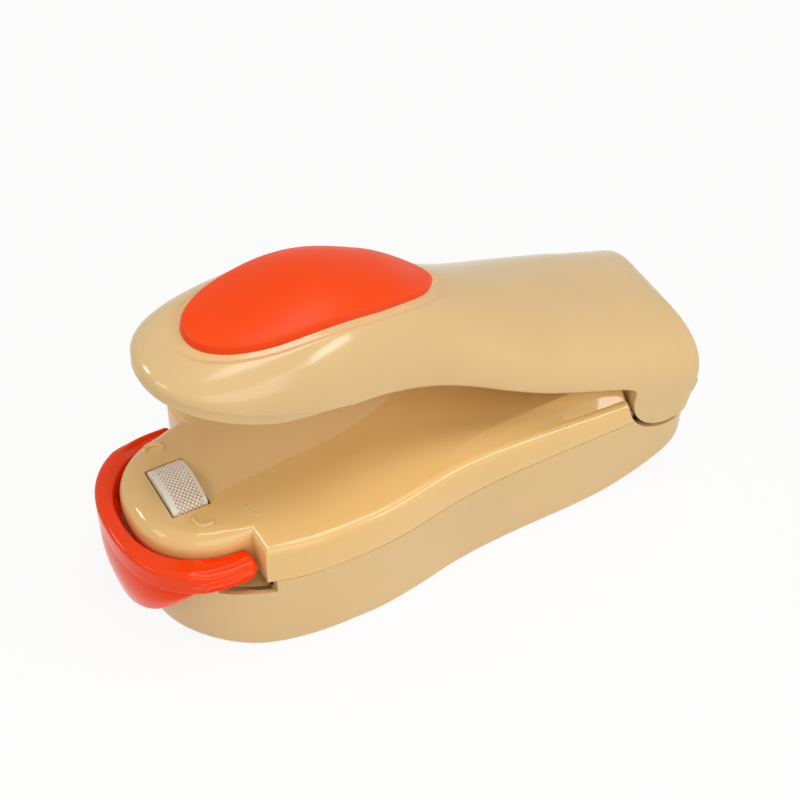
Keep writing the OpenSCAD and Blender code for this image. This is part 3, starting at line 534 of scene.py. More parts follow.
boss_arm = block((BOSS_IN, DECK_END_Y - 3.0, PART_Z + 0.4), (BOSS_OUT, HINGE_Y, HINGE_Z + 1.0), 0.2)
screw_post = rod("z", 2.6, 11.2, HINGE_Z - 2.0, REAR_SCREW, bevel=0.2)
hinge_boss = gathered(rod("x", BOSS_R, BOSS_IN, BOSS_OUT, (HINGE_Y, HINGE_Z), bevel=0.3), boss_arm, screw_post)
joined(deck, mirrored(hinge_boss), sharp=DECK_SHARP)


def c_ridge(centre, radius, start, sweep, thick, rise):
    """Low half-round ridge along part of a circle on the deck."""
    points, turns, ring = [], 28, 8
    for k in range(turns + 1):
        a = radians(start + sweep * k / turns)
        taper = min(1.0, 4.0 * min(k, turns - k) / turns + 0.25)
        for j in range(ring + 1):
            b = pi * j / ring
            r = radius + thick * taper * cos(b)
            points.append((centre[0] + r * cos(a), centre[1] + r * sin(a),
                           DECK_Z - 0.03 + rise * taper * sin(b)))
    corners = [k * (ring + 1) + j for k in range(turns) for j in range(ring)]
    return points, [(a, a + 1, a + ring + 2, a + ring + 1) for a in corners]


joined(deck, gathered(*(c_ridge(*ridge) for ridge in RIDGES)), sharp=DECK_SHARP)
# Painted shade: the deck's cream is a deeper, more orange copy of the case's cream, standing in for the warm shade
# under the arm.
cream_deck = moulded_plastic("cream_deck_abs", (0.92, 0.60, 0.23), (0.88, 0.565, 0.21), (0.03, 0.06), 0.15, 0.42)
deck.data.materials.append(cream_deck)
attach(deck, "base")
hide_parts("base_deck")


# Safety lock
# A glossy orange moulding that wraps the nose like a U: a flat-topped band with ribbed arm ends, and a deep
# thumb lobe in front. It rocks on two pins in the deck's nose so that its front rises under the arm.
LOCK_HALF, LOCK_Y, LOCK_FRONT, LOCK_END_Y = 17.4, -36.8, -52.0, STEP_Y - 0.6
BAND_Z, BAND_TOP, LOBE_Z, LOBE_HALF = PART_Z + 0.3, PART_Z + 4.6, 5.4, 16.4
LOBE_R = (LOBE_HALF ** 2 + (BAND_Z - LOBE_Z) ** 2) / (2 * (BAND_Z - LOBE_Z))
TIP_ROUND, RIB, RIB_WIDE, RIB_RUN, ARM_HANG, LOCK_SHARP = 1.5, 0.75, 0.38, 11.0, 1.1, 38.0


def lock_path():
    """Outer line of the lock in plan, from the near arm end round the front to the far one, with its normals."""
    arm = [(LOCK_HALF, LOCK_END_Y - (LOCK_END_Y - LOCK_Y) * k / 24) for k in range(24)]
    front = [(x, LOCK_Y - y) for x, y in bow(NOSE_POWER, LOCK_HALF, LOCK_Y - LOCK_FRONT, 70)]
    line = arm + front
    line += [(-x, y) for x, y in reversed(line[:-1])]
    stations = []
    for i, (x, y) in enumerate(line):
        ax, ay = line[max(i - 1, 0)]
        bx, by = line[min(i + 1, len(line) - 1)]
        along = Vector((bx - ax, by - ay)).normalized()
        stations.append((x, y, -along.y, along.x))
    return stations


def lock_width(station, side_gap, front_gap):
    """Thickness of the band along a normal, up to a line round the nose at these gaps."""
    x, y, nx, ny = station
    near, far = 1.0, 8.0
    for _ in range(24):
        o = (near + far) / 2
        px, py = x - nx * o, y - ny * o
        ahead = max(STEP_Y - py, 0.0) / (NOSE_LEN + front_gap)
        inside = gauge(px / (NOSE_HALF + side_gap), ahead, NOSE_POWER) < 1.0
        near, far = (near, o) if inside else (o, far)
    return (near + far) / 2


def swell_at(place, centre):
    return exp(-((place - centre) / RIB_WIDE) ** 2)


def lock_section(x, y, thick, foot):
    """Closed section as (out, z) pairs: top with a crisp inner edge, ribbed end, lobe below, inner wall with a foot
    that comes close to the nose."""
    low = BAND_Z - ARM_HANG
    if y < LOCK_Y - 4:
        low = min(low, LOBE_Z + LOBE_R - sqrt(max(LOBE_R ** 2 - min(abs(x), LOBE_HALF) ** 2, 0.0)))
    drop = BAND_Z - low
    near_end = LOCK_END_Y - y
    shut = max(sqrt(1 - (1 - clamp(near_end / TIP_ROUND)) ** 2), 0.30)
    ribbed = clamp(near_end / 1.2) * clamp((RIB_RUN - near_end) / 3.0)
    section = [(-thick, BAND_TOP - 0.35), (-thick + 0.08, BAND_TOP - 0.15)]
    for k in range(15):
        o = -thick + 0.25 + (thick - 1.4) * k / 14
        section.append((o, BAND_TOP - 0.02 - RIB * ribbed * (1 - swell_at(o, -1.35))))
    for a in edge_arc[1:]:
        section.append((-1.15 + 1.1 * sin(a), BAND_TOP - 0.05 - RIB * ribbed * 0.8 - 0.9 * (1 - cos(a))))
    face_top, face_low = section[-1][1], BAND_Z + 0.45
    for k in range(1, 31):
        z = face_top + (face_low - face_top) * k / 30
        section.append((-0.05 + ribbed * RIB * (1.15 * swell_at(z, BAND_TOP - 2.2) - 0.55 * k / 30), z))
    section += [(section[-1][0] - 0.1, BAND_Z + 0.2), (-0.32, BAND_Z + 0.02), (-0.5, BAND_Z - 0.06 * min(drop, 1.0))]
    for k in range(1, 11):
        u = k / 10
        swell = 0.42 * sin(pi * u) * min(drop / 4.0, 1.0)
        section.append((-0.5 + swell - 0.45 * u * u, BAND_Z - (drop - 0.35 * min(drop, 1.0)) * u))
    for o, up in ((-1.15, 0.06), (-1.35, 0.0), (-1.6, 0.1), (-1.7, 0.4)):
        section.append((o, low + up * min(drop, 1.0)))
    section += [(-1.75, BAND_Z), (-foot + 0.1, BAND_Z), (-foot, BAND_Z + 0.1), (-foot, BAND_Z + 0.8)]
    section.append((-thick, BAND_Z + 1.9))
    middle = BAND_Z + 1.7
    if shut < 0.999 and y > LOCK_Y:
        half = thick / 2
        section = [(-half + (o + half) * (0.5 + 0.5 * shut), middle + (z - middle) * shut) for o, z in section]
    return section


def lock_mesh():
    points = []
    stations = lock_path()
    for station in stations:
        x, y, nx, ny = station
        section = lock_section(x, y, lock_width(station, 0.6, 1.1), lock_width(station, 0.15, 0.15))
        points += [(x + nx * o, y + ny * o, z) for o, z in section]
    size = len(section)
    return points, bands(len(stations), size) + [tuple(range(size)), tuple(range(len(points) - size, len(points)))]


lock = made("orange_lock", *lock_mesh(), sharp=LOCK_SHARP)
carved(lock, mirrored(rod("x", 1.05, 12.9, 16.2, (LOCK_Y - 1.2, PART_Z + 2.45))), sharp=LOCK_SHARP)
orange_gloss = moulded_plastic("orange_gloss_abs", (1.0, 0.064, 0.004), (0.96, 0.056, 0.003), (0.07, 0.12), 0.05, 0.16)
lock.data.materials.append(orange_gloss)
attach(lock, "lock")
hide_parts("safety_lock")


# Press arm
# A satin cream shell domed like a spoon over the jaw, necked in behind the thumb pad and boxy at the hinge, with a
# hanging rim round its nose and a round ear on each side that turns on the hinge pin.
ARM_OPEN = radians(15.5)
ARM_NOSE_Y, ARM_FRONT, ARM_BACK, ARM_WALL = -26.0, -48.8, HINGE_Y + EAR_R - 0.7, 1.8
HEAD_HALF, NECK_HALF, SKIRT = 14.7, 12.3, 2.0
ARM_HALF = [(ARM_NOSE_Y, HEAD_HALF), (-19, HEAD_HALF - 0.4), (-11, NECK_HALF + 0.6), (-3, NECK_HALF),
            (4, NECK_HALF + 0.8), (12, REAR_HALF - 1.7), (20, REAR_HALF - 0.5), (30, REAR_HALF), (HINGE_Y, REAR_HALF)]
ARM_EDGE = [(ARM_FRONT, 26.8), (-27, 26.4), (-12, 26.2), (-3, 25.7), (4, 25.1), (11, 24.3), (18, 23.5), (28, 22.7),
            (34.4, 22), (38.4, 20.9), (ARM_BACK, HINGE_Z)]
ARM_CREST = [(ARM_FRONT, 32), (-42, 33.7), (-34, 36.4), (-22, 40.6), (-10, 40.2), (0, 37.2), (10, 34.9), (20, 33.3),
             (30, 32.2), (40, 31.7), (ARM_BACK, 30.7)]
ARM_BULGE = [(ARM_FRONT, 2.2), (-12, 2.3), (0, 2.2), (10, 1.95), (20, 2.0), (34, 2.2), (ARM_BACK, 2.4)]
ARM_SKIRT = [(ARM_FRONT, SKIRT), (-31, SKIRT), (-19, 0.3), (ARM_BACK, 0.3)]
ARM_NOSE_POWER, ARM_TAIL_POWER, EAR_IN, ARM_SHARP = 2.25, 8.0, 12.4, 40.0
HEEL_X, HEEL_T = EAR_IN + 0.1, 1.5
PAD_Y, PAD_BLUNT, PAD_LEN, PAD_HALF = -25.5, 16.6, 42.6, 9.1
PAD_FRONT_POWER, PAD_REAR_POWER, SEAT_DEPTH = 2.2, 1.75, 0.42


def arm_half_line(thin):
    """Right half of the arm's outline; thin takes a wall off it. Points crowd where the ear's round begins."""
    line = prow(ARM_NOSE_Y, ARM_NOSE_POWER, HEAD_HALF - thin, ARM_NOSE_Y - ARM_FRONT - thin, 56)
    ear_front = HINGE_Y - EAR_R
    steps = int((ear_front - ARM_NOSE_Y) / 0.5)
    rows = [ARM_NOSE_Y + (ear_front - ARM_NOSE_Y) * k / steps for k in range(1, steps)]
    rows += [HINGE_Y - EAR_R * cos(radians(a)) for a in range(0, 90, 4)]
    line += [(reading(ARM_HALF, y) - thin, y) for y in rows]
    tail = bow(ARM_TAIL_POWER, REAR_HALF - thin, ARM_BACK - HINGE_Y - thin, 44)
    return line + [(x, HINGE_Y + y) for x, y in tail]


def arm_gauge(x, y):
    """1 on the arm's outline, less inside it."""
    if y < ARM_NOSE_Y:
        return gauge(x / HEAD_HALF, (y - ARM_NOSE_Y) / (ARM_FRONT - ARM_NOSE_Y), ARM_NOSE_POWER)
    if y > HINGE_Y:
        return gauge(x / REAR_HALF, (y - HINGE_Y) / (ARM_BACK - HINGE_Y), ARM_TAIL_POWER)
    return abs(x) / reading(ARM_HALF, y)


def arm_top(s, y, sunk=0.0):
    bulge = reading(ARM_BULGE, y)
    dome = max(1 - min(s, 1.0) ** bulge, 0.0) ** (1 / bulge)
    edge = reading(ARM_EDGE, y)
    return edge + (reading(ARM_CREST, y) - sunk - edge) * dome


def pad_gauge(x, y):
    """1 on the thumb pad's outline, less inside it."""
    power, length = (PAD_FRONT_POWER, PAD_BLUNT) if y < PAD_Y else (PAD_REAR_POWER, PAD_LEN - PAD_BLUNT)
    return gauge(x / PAD_HALF, (y - PAD_Y) / length, power)


def pad_seat(x, y):
    """Shallow dish that the thumb pad is let into, a little wider than the pad."""
    return SEAT_DEPTH * (1 - smooth((pad_gauge(x, y) - 1.07) / 0.08))


def lifted(solid):
    """Turns a solid of the shut arm up to its rest pose."""
    points, faces = solid
    c, s = cos(ARM_OPEN), sin(ARM_OPEN)
    return [(x, HINGE_Y + (y - HINGE_Y) * c + (z - HINGE_Z) * s, HINGE_Z - (y - HINGE_Y) * s + (z - HINGE_Z) * c)
            for x, y, z in points], faces


def arm_dome(line, sunk, levels):
    """Rings of the dome; the one that is not sunk has the thumb pad's seat."""
    rings = []
    for s in levels:
        ring = []
        for x, y in closed(line):
            c = min(max(y, ARM_NOSE_Y), HINGE_Y)
            qx, qy = x * s, c + (y - c) * s
            ring.append((qx, qy, arm_top(s, qy, sunk) - (0.0 if sunk else pad_seat(qx, qy))))
        rings.append(ring)
    return rings


def rim_in(y):
    """How far the hanging rim lies behind the edge of the dome."""
    return 0.40 * clamp((-18.0 - y) / 8.0)


def wall_foot(x, y):
    """Lower end of the arm's wall: the rim of the nose, and the round of the ear beside the hinge."""
    rim = reading(ARM_EDGE, y) - reading(ARM_SKIRT, y)
    if abs(y - HINGE_Y) >= EAR_R:
        return rim
    at_side = clamp((abs(x) - EAR_IN - 0.3) / 2.0)
    ear_low = HINGE_Z - sqrt(EAR_R ** 2 - (y - HINGE_Y) ** 2)
    return rim + min(ear_low - rim, 0.0) * at_side


def arm_rings():
    outer, inner = arm_half_line(0.0), arm_half_line(ARM_WALL)
    loop = closed(outer)
    edge = [reading(ARM_EDGE, y) for x, y in loop]
    foot = [wall_foot(x, y) for x, y in loop]
    rings = arm_dome(inner, ARM_WALL, [cos(pi / 2 * k / 16) ** 0.8 for k in range(15, -1, -1)])
    rings.append([(x, y, f) for (x, y), f in zip(closed(inner), foot)])
    for depth, up in ((0.55, 0.0), (0.28, 0.0), (0.10, 0.06), (0.0, 0.22)):
        rings.append([(x, y, f + up) for (x, y), f in zip(inset(loop, lambda y: depth + rim_in(y)), foot)])
    for u in (0.0, 0.5, 1.0):
        rings.append([(x, y, f + 0.24 + (e - 0.06 - f - 0.24) * u)
                      for (x, y), f, e in zip(inset(loop, rim_in), foot, edge)])
    rings.append([(x, y, e - 0.04) for (x, y), e in zip(inset(loop, lambda y: 0.08 * rim_in(y)), edge)])
    return rings + arm_dome(outer, 0.0, [1.0] + [cos(pi / 2 * k / 72) ** 0.8 for k in range(1, 72)])


def ear_ease(angle):
    """The ear and the foot of the rear wall run flush into the shell behind."""
    return 1.0 - 0.18 * smooth((angle + 75.0) / 60.0)


def turned(profile, start, end, count):
    """Solid swept about the hinge axis from (x, radius) pairs; angles run from the rear upward."""
    rings = []
    for k in range(count + 1):
        a = radians(start + (end - start) * k / count)
        ease = ear_ease(degrees(a))
        rings.append([(x, HINGE_Y + r * ease * cos(a), HINGE_Z + r * ease * sin(a)) for x, r in profile])
    n = len(profile)
    faces = bands(count + 1, n) + [tuple(range(n)), tuple(range(count * n, (count + 1) * n))]
    return [p for ring in rings for p in ring], faces


ear_profile = [(EAR_IN, 0.02), (EAR_IN, EAR_R - 0.4), (EAR_IN + 0.2, EAR_R - 0.2), (REAR_HALF - 0.5, EAR_R - 0.2),
               (REAR_HALF - 0.5, 0.02)]
ears = mirrored(turned(ear_profile, -192.0, 10.0, 90))
heel_profile = [(-HEEL_X, EAR_R - HEEL_T), (-HEEL_X, EAR_R), (HEEL_X, EAR_R), (HEEL_X, EAR_R - HEEL_T)]
heel = turned(heel_profile, -24.0, 9.0, 16)
arm = made("cream_press_arm", *lifted(skin(arm_rings())), sharp=ARM_SHARP)
for part in (ears, heel):
    joined(arm, lifted(part), sharp=ARM_SHARP)
arm.data.materials.append(moulded_plastic("cream_satin_abs", CREAM_PALE, CREAM_DEEP, (0.13, 0.20), 0.15))
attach(arm, "arm")
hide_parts("arm_shell")


# Thumb pad
# A satin orange inlay, blunt in front and drawn out to the rear, that follows the arm's crown and is pressed
# into it with two pegs.
PAD_T = 1.25


def pad_mesh():
    front = prow(PAD_Y, PAD_FRONT_POWER, PAD_HALF, PAD_BLUNT, 60)
    rear = [(x, PAD_Y + y) for x, y in bow(PAD_REAR_POWER, PAD_HALF, PAD_LEN - PAD_BLUNT, 60)]
    loop = closed(front + rear[1:])

    def level(s, lift):
        ring = [(x * s, PAD_Y + (y - PAD_Y) * s) for x, y in loop]
        return [(x, y, arm_top(arm_gauge(x, y), y) + lift) for x, y in ring]

    rings = [level(s, -0.40) for s in (0.05, 0.4, 0.8, 0.995)]
    rings += [level(1.0 - 0.035 * (1 - cos(a)), PAD_T - 0.45 * (1 - sin(a))) for a in edge_arc]
    rings += [level(0.965 * (1 - k / 30), PAD_T) for k in range(1, 30)]
    return skin(rings)


thumb_pad = made("orange_thumb_pad", *lifted(pad_mesh()), sharp=50.0)
orange_satin = moulded_plastic("orange_satin_abs", (1.0, 0.075, 0.006), (0.97, 0.066, 0.005), (0.36, 0.46), 0.05, 0.20)
thumb_pad.data.materials.append(orange_satin)
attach(thumb_pad, "arm")
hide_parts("thumb_pad")


# Heater cloth
# A strip of coated glass cloth stretched over the sprung heater block and its ribbon, tucked down at both ends;
# its long edges are smooth, and the weave between them shows as rows of shiny crowns.
CLOTH_R, CLOTH_MID_Z, CLOTH_HALF, CLOTH_LOW, CLOTH_BEND = 12.40, 12.5, 5.30, 21.25, 1.3
CLOTH_FRONT, CLOTH_BACK, CLOTH_T = -42.45, -36.35, 0.28
CROWN_PITCH, CROWN_ROWS, CROWN_ROW, CROWN_R, CROWN_MID_Y = 0.00040, 6, 0.00076, 0.00027, -39.25


def cloth_line(sunk):
    """Line of the cloth across the nose as (x, z), from one tucked end over the crown to the other."""
    r, half, bend = CLOTH_R - sunk, CLOTH_HALF - sunk, CLOTH_BEND - sunk
    mid_x = half - bend
    mid_z = CLOTH_MID_Z + sqrt((r - bend) ** 2 - mid_x ** 2)
    lean = atan2(mid_z - CLOTH_MID_Z, mid_x)
    line = [(half, CLOTH_LOW + (mid_z - CLOTH_LOW) * k / 6) for k in range(6)]
    line += [(mid_x + bend * cos(lean * k / 10), mid_z + bend * sin(lean * k / 10)) for k in range(10)]
    for k in range(12):
        a = lean + (pi / 2 - lean) * k / 12
        line.append((r * cos(a), CLOTH_MID_Z + r * sin(a)))
    return line + [(0.0, CLOTH_MID_Z + r)] + [(-x, z) for x, z in reversed(line)]


def cloth_mesh():
    rings = []
    for y, sunk in ((CLOTH_FRONT, 0.16), (CLOTH_FRONT + 0.05, 0.06), (CLOTH_FRONT + 0.16, 0.0), (HEAT_Y, 0.0),
                    (CLOTH_BACK - 0.16, 0.0), (CLOTH_BACK - 0.05, 0.06), (CLOTH_BACK, 0.16)):
        rings.append([(x, y, z) for x, z in cloth_line(sunk) + cloth_line(CLOTH_T)[::-1]])
    n = len(rings[0])
    faces = bands(len(rings), n)
    for base in (0, (len(rings) - 1) * n):
        faces += [(base + i, base + i + 1, base + n - 2 - i, base + n - 1 - i) for i in range(n // 2 - 1)]
    return [p for ring in rings for p in ring], faces


def tree_named(name, sizes):
    """A new geometry tree with named inputs, their identifiers, its nodes and its start."""
    tree = bpy.data.node_groups.new(name, "GeometryNodeTree")
    face, keys = tree.interface, {}
    face.new_socket("Geometry", in_out="INPUT", socket_type="NodeSocketGeometry")
    for label, kind in sizes.items():
        keys[label] = face.new_socket(label, in_out="INPUT", socket_type="NodeSocket" + kind).identifier
    face.new_socket("Geometry", in_out="OUTPUT", socket_type="NodeSocketGeometry")
    return tree, keys, tree.nodes, tree.nodes.new("NodeGroupInput")


def ended(nodes, last, start):
    """Last nodes of every tree: instances made real, smooth shading and the finish."""
    real = nodes.new("GeometryNodeRealizeInstances")
    shaded = nodes.new("GeometryNodeSetShadeSmooth")
    coat = nodes.new("GeometryNodeSetMaterial")
    end = nodes.new("NodeGroupOutput")
    wired((last, 0, real, 0), (real, 0, shaded, 0), (shaded, 0, coat, 0), (start, "Finish", coat, "Material"),
          (coat, 0, end, 0))


def grown(name, lines, tree, keys, values):
    """A plain mesh object that a tree grows along lines of millimetre points."""
    points, edges = [], []
    for line in lines:
        edges += [(len(points) + k, len(points) + k + 1) for k in range(len(line) - 1)]
        points += [Vector(p) * MM for p in line]
    mesh = bpy.data.meshes.new(name)
    mesh.from_pydata(points, edges, [])
    piece = put(name, mesh)
    grower = piece.modifiers.new("grow", "NODES")
    grower.node_group = tree
    for label, value in values.items():
        grower[keys[label]] = value
    settled(piece)
    tidied(piece, 60.0)
    return piece


def crown_tree():
    """Staggered rows of round thread crowns along a line."""
    tree, keys, nodes, start = tree_named("woven_crowns", {
        "Pitch": "Float", "Rows": "Int", "Row Pitch": "Float", "Crown Radius": "Float", "Finish": "Material"})
    path = nodes.new("GeometryNodeMeshToCurve")
    places = nodes.new("GeometryNodeCurveToPoints")
    places.mode = "LENGTH"
    number = nodes.new("GeometryNodeInputIndex")
    odd = reckoned(nodes, "MODULO", {1: 2.0})
    half = reckoned(nodes, "MULTIPLY", {1: 0.5})
    shift = reckoned(nodes, "MULTIPLY", {})
    aside = nodes.new("ShaderNodeCombineXYZ")
    stagger = nodes.new("GeometryNodeSetPosition")
    stride = nodes.new("ShaderNodeCombineXYZ")
    row = nodes.new("GeometryNodeMeshLine")
    crown = placed(nodes, "GeometryNodeMeshUVSphere", {"Segments": 10, "Rings": 6})
    long_crown = placed(nodes, "GeometryNodeTransform", {"Scale": (1.0, 1.15, 1.0)})
    crowns = nodes.new("GeometryNodeInstanceOnPoints")
    rows = nodes.new("GeometryNodeInstanceOnPoints")
    wired((start, "Geometry", path, "Mesh"), (path, "Curve", places, "Curve"),
          (start, "Pitch", places, "Length"), (number, "Index", odd, 0), (start, "Row Pitch", half, 0),
          (odd, 0, shift, 0), (half, 0, shift, 1), (shift, 0, aside, "Y"), (places, "Points", stagger, "Geometry"),
          (aside, "Vector", stagger, "Offset"), (start, "Row Pitch", stride, "Y"), (start, "Rows", row, "Count"),
          (stride, "Vector", row, "Offset"), (start, "Crown Radius", crown, "Radius"),
          (crown, "Mesh", long_crown, "Geometry"), (row, "Mesh", crowns, "Points"),
          (long_crown, "Geometry", crowns, "Instance"), (stagger, "Geometry", rows, "Points"),
          (crowns, "Instances", rows, "Instance"))
    ended(nodes, rows, start)
    return tree, keys


def coated_cloth(name, thread, shade, roughness, dark_half):
    """Glass cloth under a clear coat: pale threads, browner between them inside dark_half metres of the middle."""
    material, nodes, shader = blank(name, {"Sheen Weight": 0.1})
    place = nodes.new("ShaderNodeTexCoord")
    speckle = noise(nodes, 900.0, 3.0)
    split = nodes.new("ShaderNodeSeparateXYZ")
    off_middle = reckoned(nodes, "ADD", {1: -CROWN_MID_Y * MM})
    width = reckoned(nodes, "ABSOLUTE", {})
    border = placed(nodes, "ShaderNodeMapRange", {"From Min": dark_half, "From Max": dark_half + 0.0003})
    wave = reckoned(nodes, "MULTIPLY_ADD", {1: 0.5, 2: -0.25})
    total = reckoned(nodes, "ADD", {})
    tone = ramp(nodes, (0.05, 0.85), shade, thread)
    gloss = span(nodes, roughness)
    wired((place, "Object", speckle, "Vector"), (place, "Object", split, "Vector"), (split, "Y", off_middle, 0),
          (off_middle, 0, width, 0), (width, 0, border, "Value"), (speckle, "Fac", wave, 0),
          (border, "Result", total, 0), (wave, 0, total, 1), (total, 0, tone, "Fac"),
          (tone, "Color", shader, "Base Color"), (speckle, "Fac", gloss, "Value"),
          (gloss, "Result", shader, "Roughness"))
    return material


cloth = made("glass_cloth_strip", *cloth_mesh(), sharp=50.0)
strip_finish = coated_cloth("coated_cloth", (0.97, 0.90, 0.80), (0.60, 0.40, 0.24), (0.24, 0.36), 0.0021)
cloth.data.materials.append(strip_finish)
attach(cloth, "heater")
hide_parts("heater_cover")
first_row = CROWN_MID_Y - (CROWN_ROWS - 0.5) / 2 * CROWN_ROW / MM
crown_line = [(x, first_row, z) for x, z in cloth_line(0.13)]
# The crowns are coloured near white: partly the pale thread, partly a painted highlight for the sheen of the coat.
crowns = grown("glass_cloth_crowns", [crown_line], *crown_tree(), {
    "Pitch": CROWN_PITCH, "Rows": CROWN_ROWS, "Row Pitch": CROWN_ROW, "Crown Radius": CROWN_R,
    "Finish": coated_cloth("thread_crowns", (1.0, 0.95, 0.86), (1.0, 0.88, 0.72), (0.06, 0.14), 0.0)})
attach(crowns, "heater")


# Heater block and ribbon
# The block is a white heat-resistant moulding that slides in the nose; the ribbon is rolled resistance foil.
def finished(material, *names):
    """Gives a finish to CAD pieces that show as they are."""
    for name in names:
        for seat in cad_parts[name].material_slots:
            seat.material = material


def plain_stuff(name, pale, deep, roughness, scale, relief, metal=0.0, stretch=(1.0, 1.0, 1.0), sheen=0.0):
    """A finish whose tone, gloss and relief drift with one grain, drawn out where it was rolled."""
    material, nodes, shader = blank(name, {"Metallic": metal, "Sheen Weight": sheen})
    place = nodes.new("ShaderNodeTexCoord")
    drawn = placed(nodes, "ShaderNodeMapping", {"Scale": stretch})
    grain = noise(nodes, scale, 5.0)
    tone = ramp(nodes, (0.30, 0.72), deep, pale)
    gloss = span(nodes, roughness)
    bump = placed(nodes, "ShaderNodeBump", {"Strength": relief, "Distance": 0.00005})
    wired((place, "Object", drawn, "Vector"), (drawn, "Vector", grain, "Vector"), (grain, "Fac", tone, "Fac"),
          (tone, "Color", shader, "Base Color"), (grain, "Fac", gloss, "Value"),
          (gloss, "Result", shader, "Roughness"), (grain, "Fac", bump, "Height"), (bump, "Normal", shader, "Normal"))
    return material


finished(plain_stuff("white_heat_moulding", (0.86, 0.83, 0.76), (0.78, 0.75, 0.68), (0.45, 0.60), 900.0, 0.12),
         "heater_block")
finished(plain_stuff("rolled_foil", (0.62, 0.59, 0.56), (0.48, 0.45, 0.42), (0.22, 0.36), 1500.0, 0.10, 1.0,
                     (0.1, 1.0, 1.0)), "heater_ribbon")


# Springs
# Wound from drawn spring wire: a cone spring for each cell, two under the heater block, and the torsion spring
# round the hinge pin whose legs push the arm up from the deck.
def wire_tree():
    """Round wire along a line."""
    tree, keys, nodes, start = tree_named("drawn_wire", {"Wire Radius": "Float", "Finish": "Material"})
    path = nodes.new("GeometryNodeMeshToCurve")
    ring = placed(nodes, "GeometryNodeCurvePrimitiveCircle", {"Resolution": 12})
    sweep = placed(nodes, "GeometryNodeCurveToMesh", {"Fill Caps": True})
    wired((start, "Geometry", path, "Mesh"), (start, "Wire Radius", ring, "Radius"),
          (path, "Curve", sweep, "Curve"), (ring, "Curve", sweep, "Profile Curve"))
    ended(nodes, sweep, start)
    return tree, keys


def helix(turns, first_angle, radius_from, radius_to, length):
    """Points (across, up, along) of a coil that may taper, 28 to a turn."""
    points, steps = [], int(turns * 28)
    for k in range(steps + 1):
        u = k / steps
        a, r = first_angle + 2 * pi * turns * u, radius_from + (radius_to - radius_from) * u
        points.append((r * cos(a), r * sin(a), length * u))
    return points


wire_keys = wire_tree()
spring_wire = plain_stuff("drawn_spring_wire", (0.66, 0.66, 0.68), (0.50, 0.50, 0.52), (0.20, 0.34), 2600.0, 0.08, 1.0)
CELL_WIRE, CELL_X, CELL_Z, CONE_SEAT, CONE_WIDE, CONE_NARROW, CONE_LEN = 0.30, 7.25, 9.3, 0.75, 3.4, 2.2, 4.3
HEAT_WIRE, HEAT_COIL_X, HEAT_COIL_Z, HEAT_COIL_R, HEAT_COIL_LEN = 0.20, 3.2, 10.25, 1.2, 5.0
HINGE_WIRE, COIL_R, COIL_LEN, LEG_REACH, LEG_GAP = 0.35, 2.2, 5.6, 10.6, 0.45
cone_coil = helix(4, 0.0, CONE_WIDE, CONE_NARROW, CONE_LEN)
front_cone = [(-CELL_X + a, BAY_FRONT + CONE_SEAT + c, CELL_Z + b) for a, b, c in cone_coil]
rear_cone = [(CELL_X - a, BAY_REAR - CONE_SEAT - c, CELL_Z + b) for a, b, c in cone_coil]
heat_coil = helix(5, 0.0, HEAT_COIL_R, HEAT_COIL_R, HEAT_COIL_LEN)
heat_coils = [[(side * (HEAT_COIL_X + a), HEAT_Y + b, HEAT_COIL_Z + c) for a, b, c in heat_coil] for side in (1, -1)]
roof = reading(ARM_CREST, HINGE_Y - LEG_REACH) - ARM_WALL - HINGE_WIRE - LEG_GAP - HINGE_Z
leg_y = roof * sin(ARM_OPEN) - LEG_REACH * cos(ARM_OPEN)
leg_z = LEG_REACH * sin(ARM_OPEN) + roof * cos(ARM_OPEN)
wound = 4 + (pi / 2 + atan2(leg_z, leg_y) - acos(COIL_R / hypot(leg_y, leg_z))) / (2 * pi)
hinge_coil = [(-COIL_LEN / 2, DECK_END_Y + HINGE_WIRE + 0.1, HINGE_Z - COIL_R - 0.2)]
hinge_coil += [(c - COIL_LEN / 2, HINGE_Y + a, HINGE_Z + b)
               for a, b, c in helix(wound, -pi / 2, COIL_R, COIL_R, COIL_LEN)]
hinge_coil += [(COIL_LEN / 2, HINGE_Y + leg_y, HINGE_Z + leg_z)]
for name, lines, wire, node in (("cell_cone_springs", [front_cone, rear_cone], CELL_WIRE, "battery_springs"),
                                ("heater_block_springs", heat_coils, HEAT_WIRE, "heater_springs"),
                                ("hinge_torsion_spring", [hinge_coil], HINGE_WIRE, "return_spring")):
    spring = grown(name, lines, *wire_keys, {"Wire Radius": wire * MM, "Finish": spring_wire})
    if node == "return_spring":
        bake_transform(spring)
    else:
        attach(spring, "base")
    if node == "heater_springs":
        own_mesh(spring)
    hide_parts(node)


# Lead wires
# Two soft insulated leads run from the cell contacts along the case to the switch leaf and its anvil.
def eased(points):
    """Smooth line through points, eight steps to each."""
    line, steps = [], 8
    for k in range(len(points) - 1):
        p0, p1, p2, p3 = (Vector(points[min(max(j, 0), len(points) - 1)]) for j in (k - 1, k, k + 1, k + 2))
        for j in range(steps):
            t = j / steps
            line.append(tuple(0.5 * (2 * p1 + (p2 - p0) * t + (2 * p0 - 5 * p1 + 4 * p2 - p3) * t * t
                                     + (3 * p1 - p0 - 3 * p2 + p3) * t ** 3)))
    return line + [tuple(points[-1])]


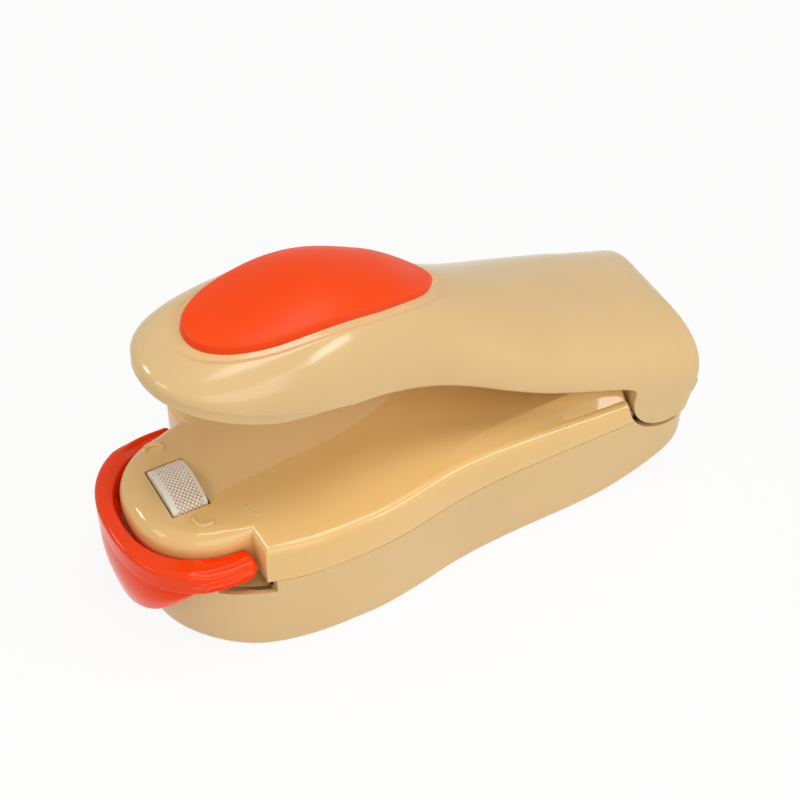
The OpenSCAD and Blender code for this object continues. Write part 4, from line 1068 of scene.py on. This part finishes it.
LEAD_WIRE = 0.5
along_case = [(11.9, BAY_REAR - 0.5, 15.4), (13, 27, 16.3), (13, 0, 16.6), (13, -17, 16.6)]
leaf_lead = eased(along_case + [(10, -24, 15), (2, -29, 12.95)])
anvil_lead = [(-x, y, z) for x, y, z in eased(along_case + [(9, -27, 14), (5.6, -32, 12), (0.6, -36.9, 11.25)])]
leads = grown("insulated_leads", [leaf_lead, anvil_lead], *wire_keys, {
    "Wire Radius": LEAD_WIRE * MM,
    "Finish": plain_stuff("red_lead_sleeve", (0.56, 0.016, 0.014), (0.48, 0.012, 0.011), (0.34, 0.48), 1200.0, 0.06)})
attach(leads, "base")
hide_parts("lead_wires")


# Fastenings and contacts
# Zinc-plated screws and turned pins hold the mouldings; the cells press on nickel-plated sheet contacts, and the
# heater switch is a stamped brass leaf over its anvil.
zinc_plate = plain_stuff("zinc_plate", (0.70, 0.70, 0.72), (0.55, 0.56, 0.58), (0.24, 0.40), 1800.0, 0.08, 1.0)
finished(zinc_plate, "case_screws", "arm_screws", "switch_screw", "hinge_pin", "lock_pins")
finished(plain_stuff("nickel_sheet", (0.74, 0.73, 0.71), (0.60, 0.59, 0.57), (0.20, 0.34), 1400.0, 0.08, 1.0,
                     (1.0, 1.0, 0.12)), "link_plate", "terminal_plates")
finished(plain_stuff("stamped_brass", (0.80, 0.60, 0.26), (0.66, 0.47, 0.18), (0.22, 0.36), 1400.0, 0.08, 1.0,
                     (1.0, 0.12, 1.0)), "switch_leaf", "switch_anvil")


# Cells
# Two ordinary round cells in a plain dark shrink jacket, laid head to tail in the bay.
finished(plain_stuff("cell_jacket", (0.060, 0.068, 0.082), (0.042, 0.048, 0.060), (0.22, 0.34), 260.0, 0.04),
         "aa_cells")


# Jaw pad, liner and battery door
# A soft silicone pad under the arm's nose presses the bag on the heater; a cream liner screwed into the arm holds
# it, and a cream door that lifts out of the case floor closes the battery bay.
finished(plain_stuff("jaw_silicone", (0.66, 0.62, 0.55), (0.58, 0.54, 0.47), (0.55, 0.70), 700.0, 0.15, sheen=0.15),
         "pressure_pad")
finished(cream_gloss, "arm_liner", "battery_door")
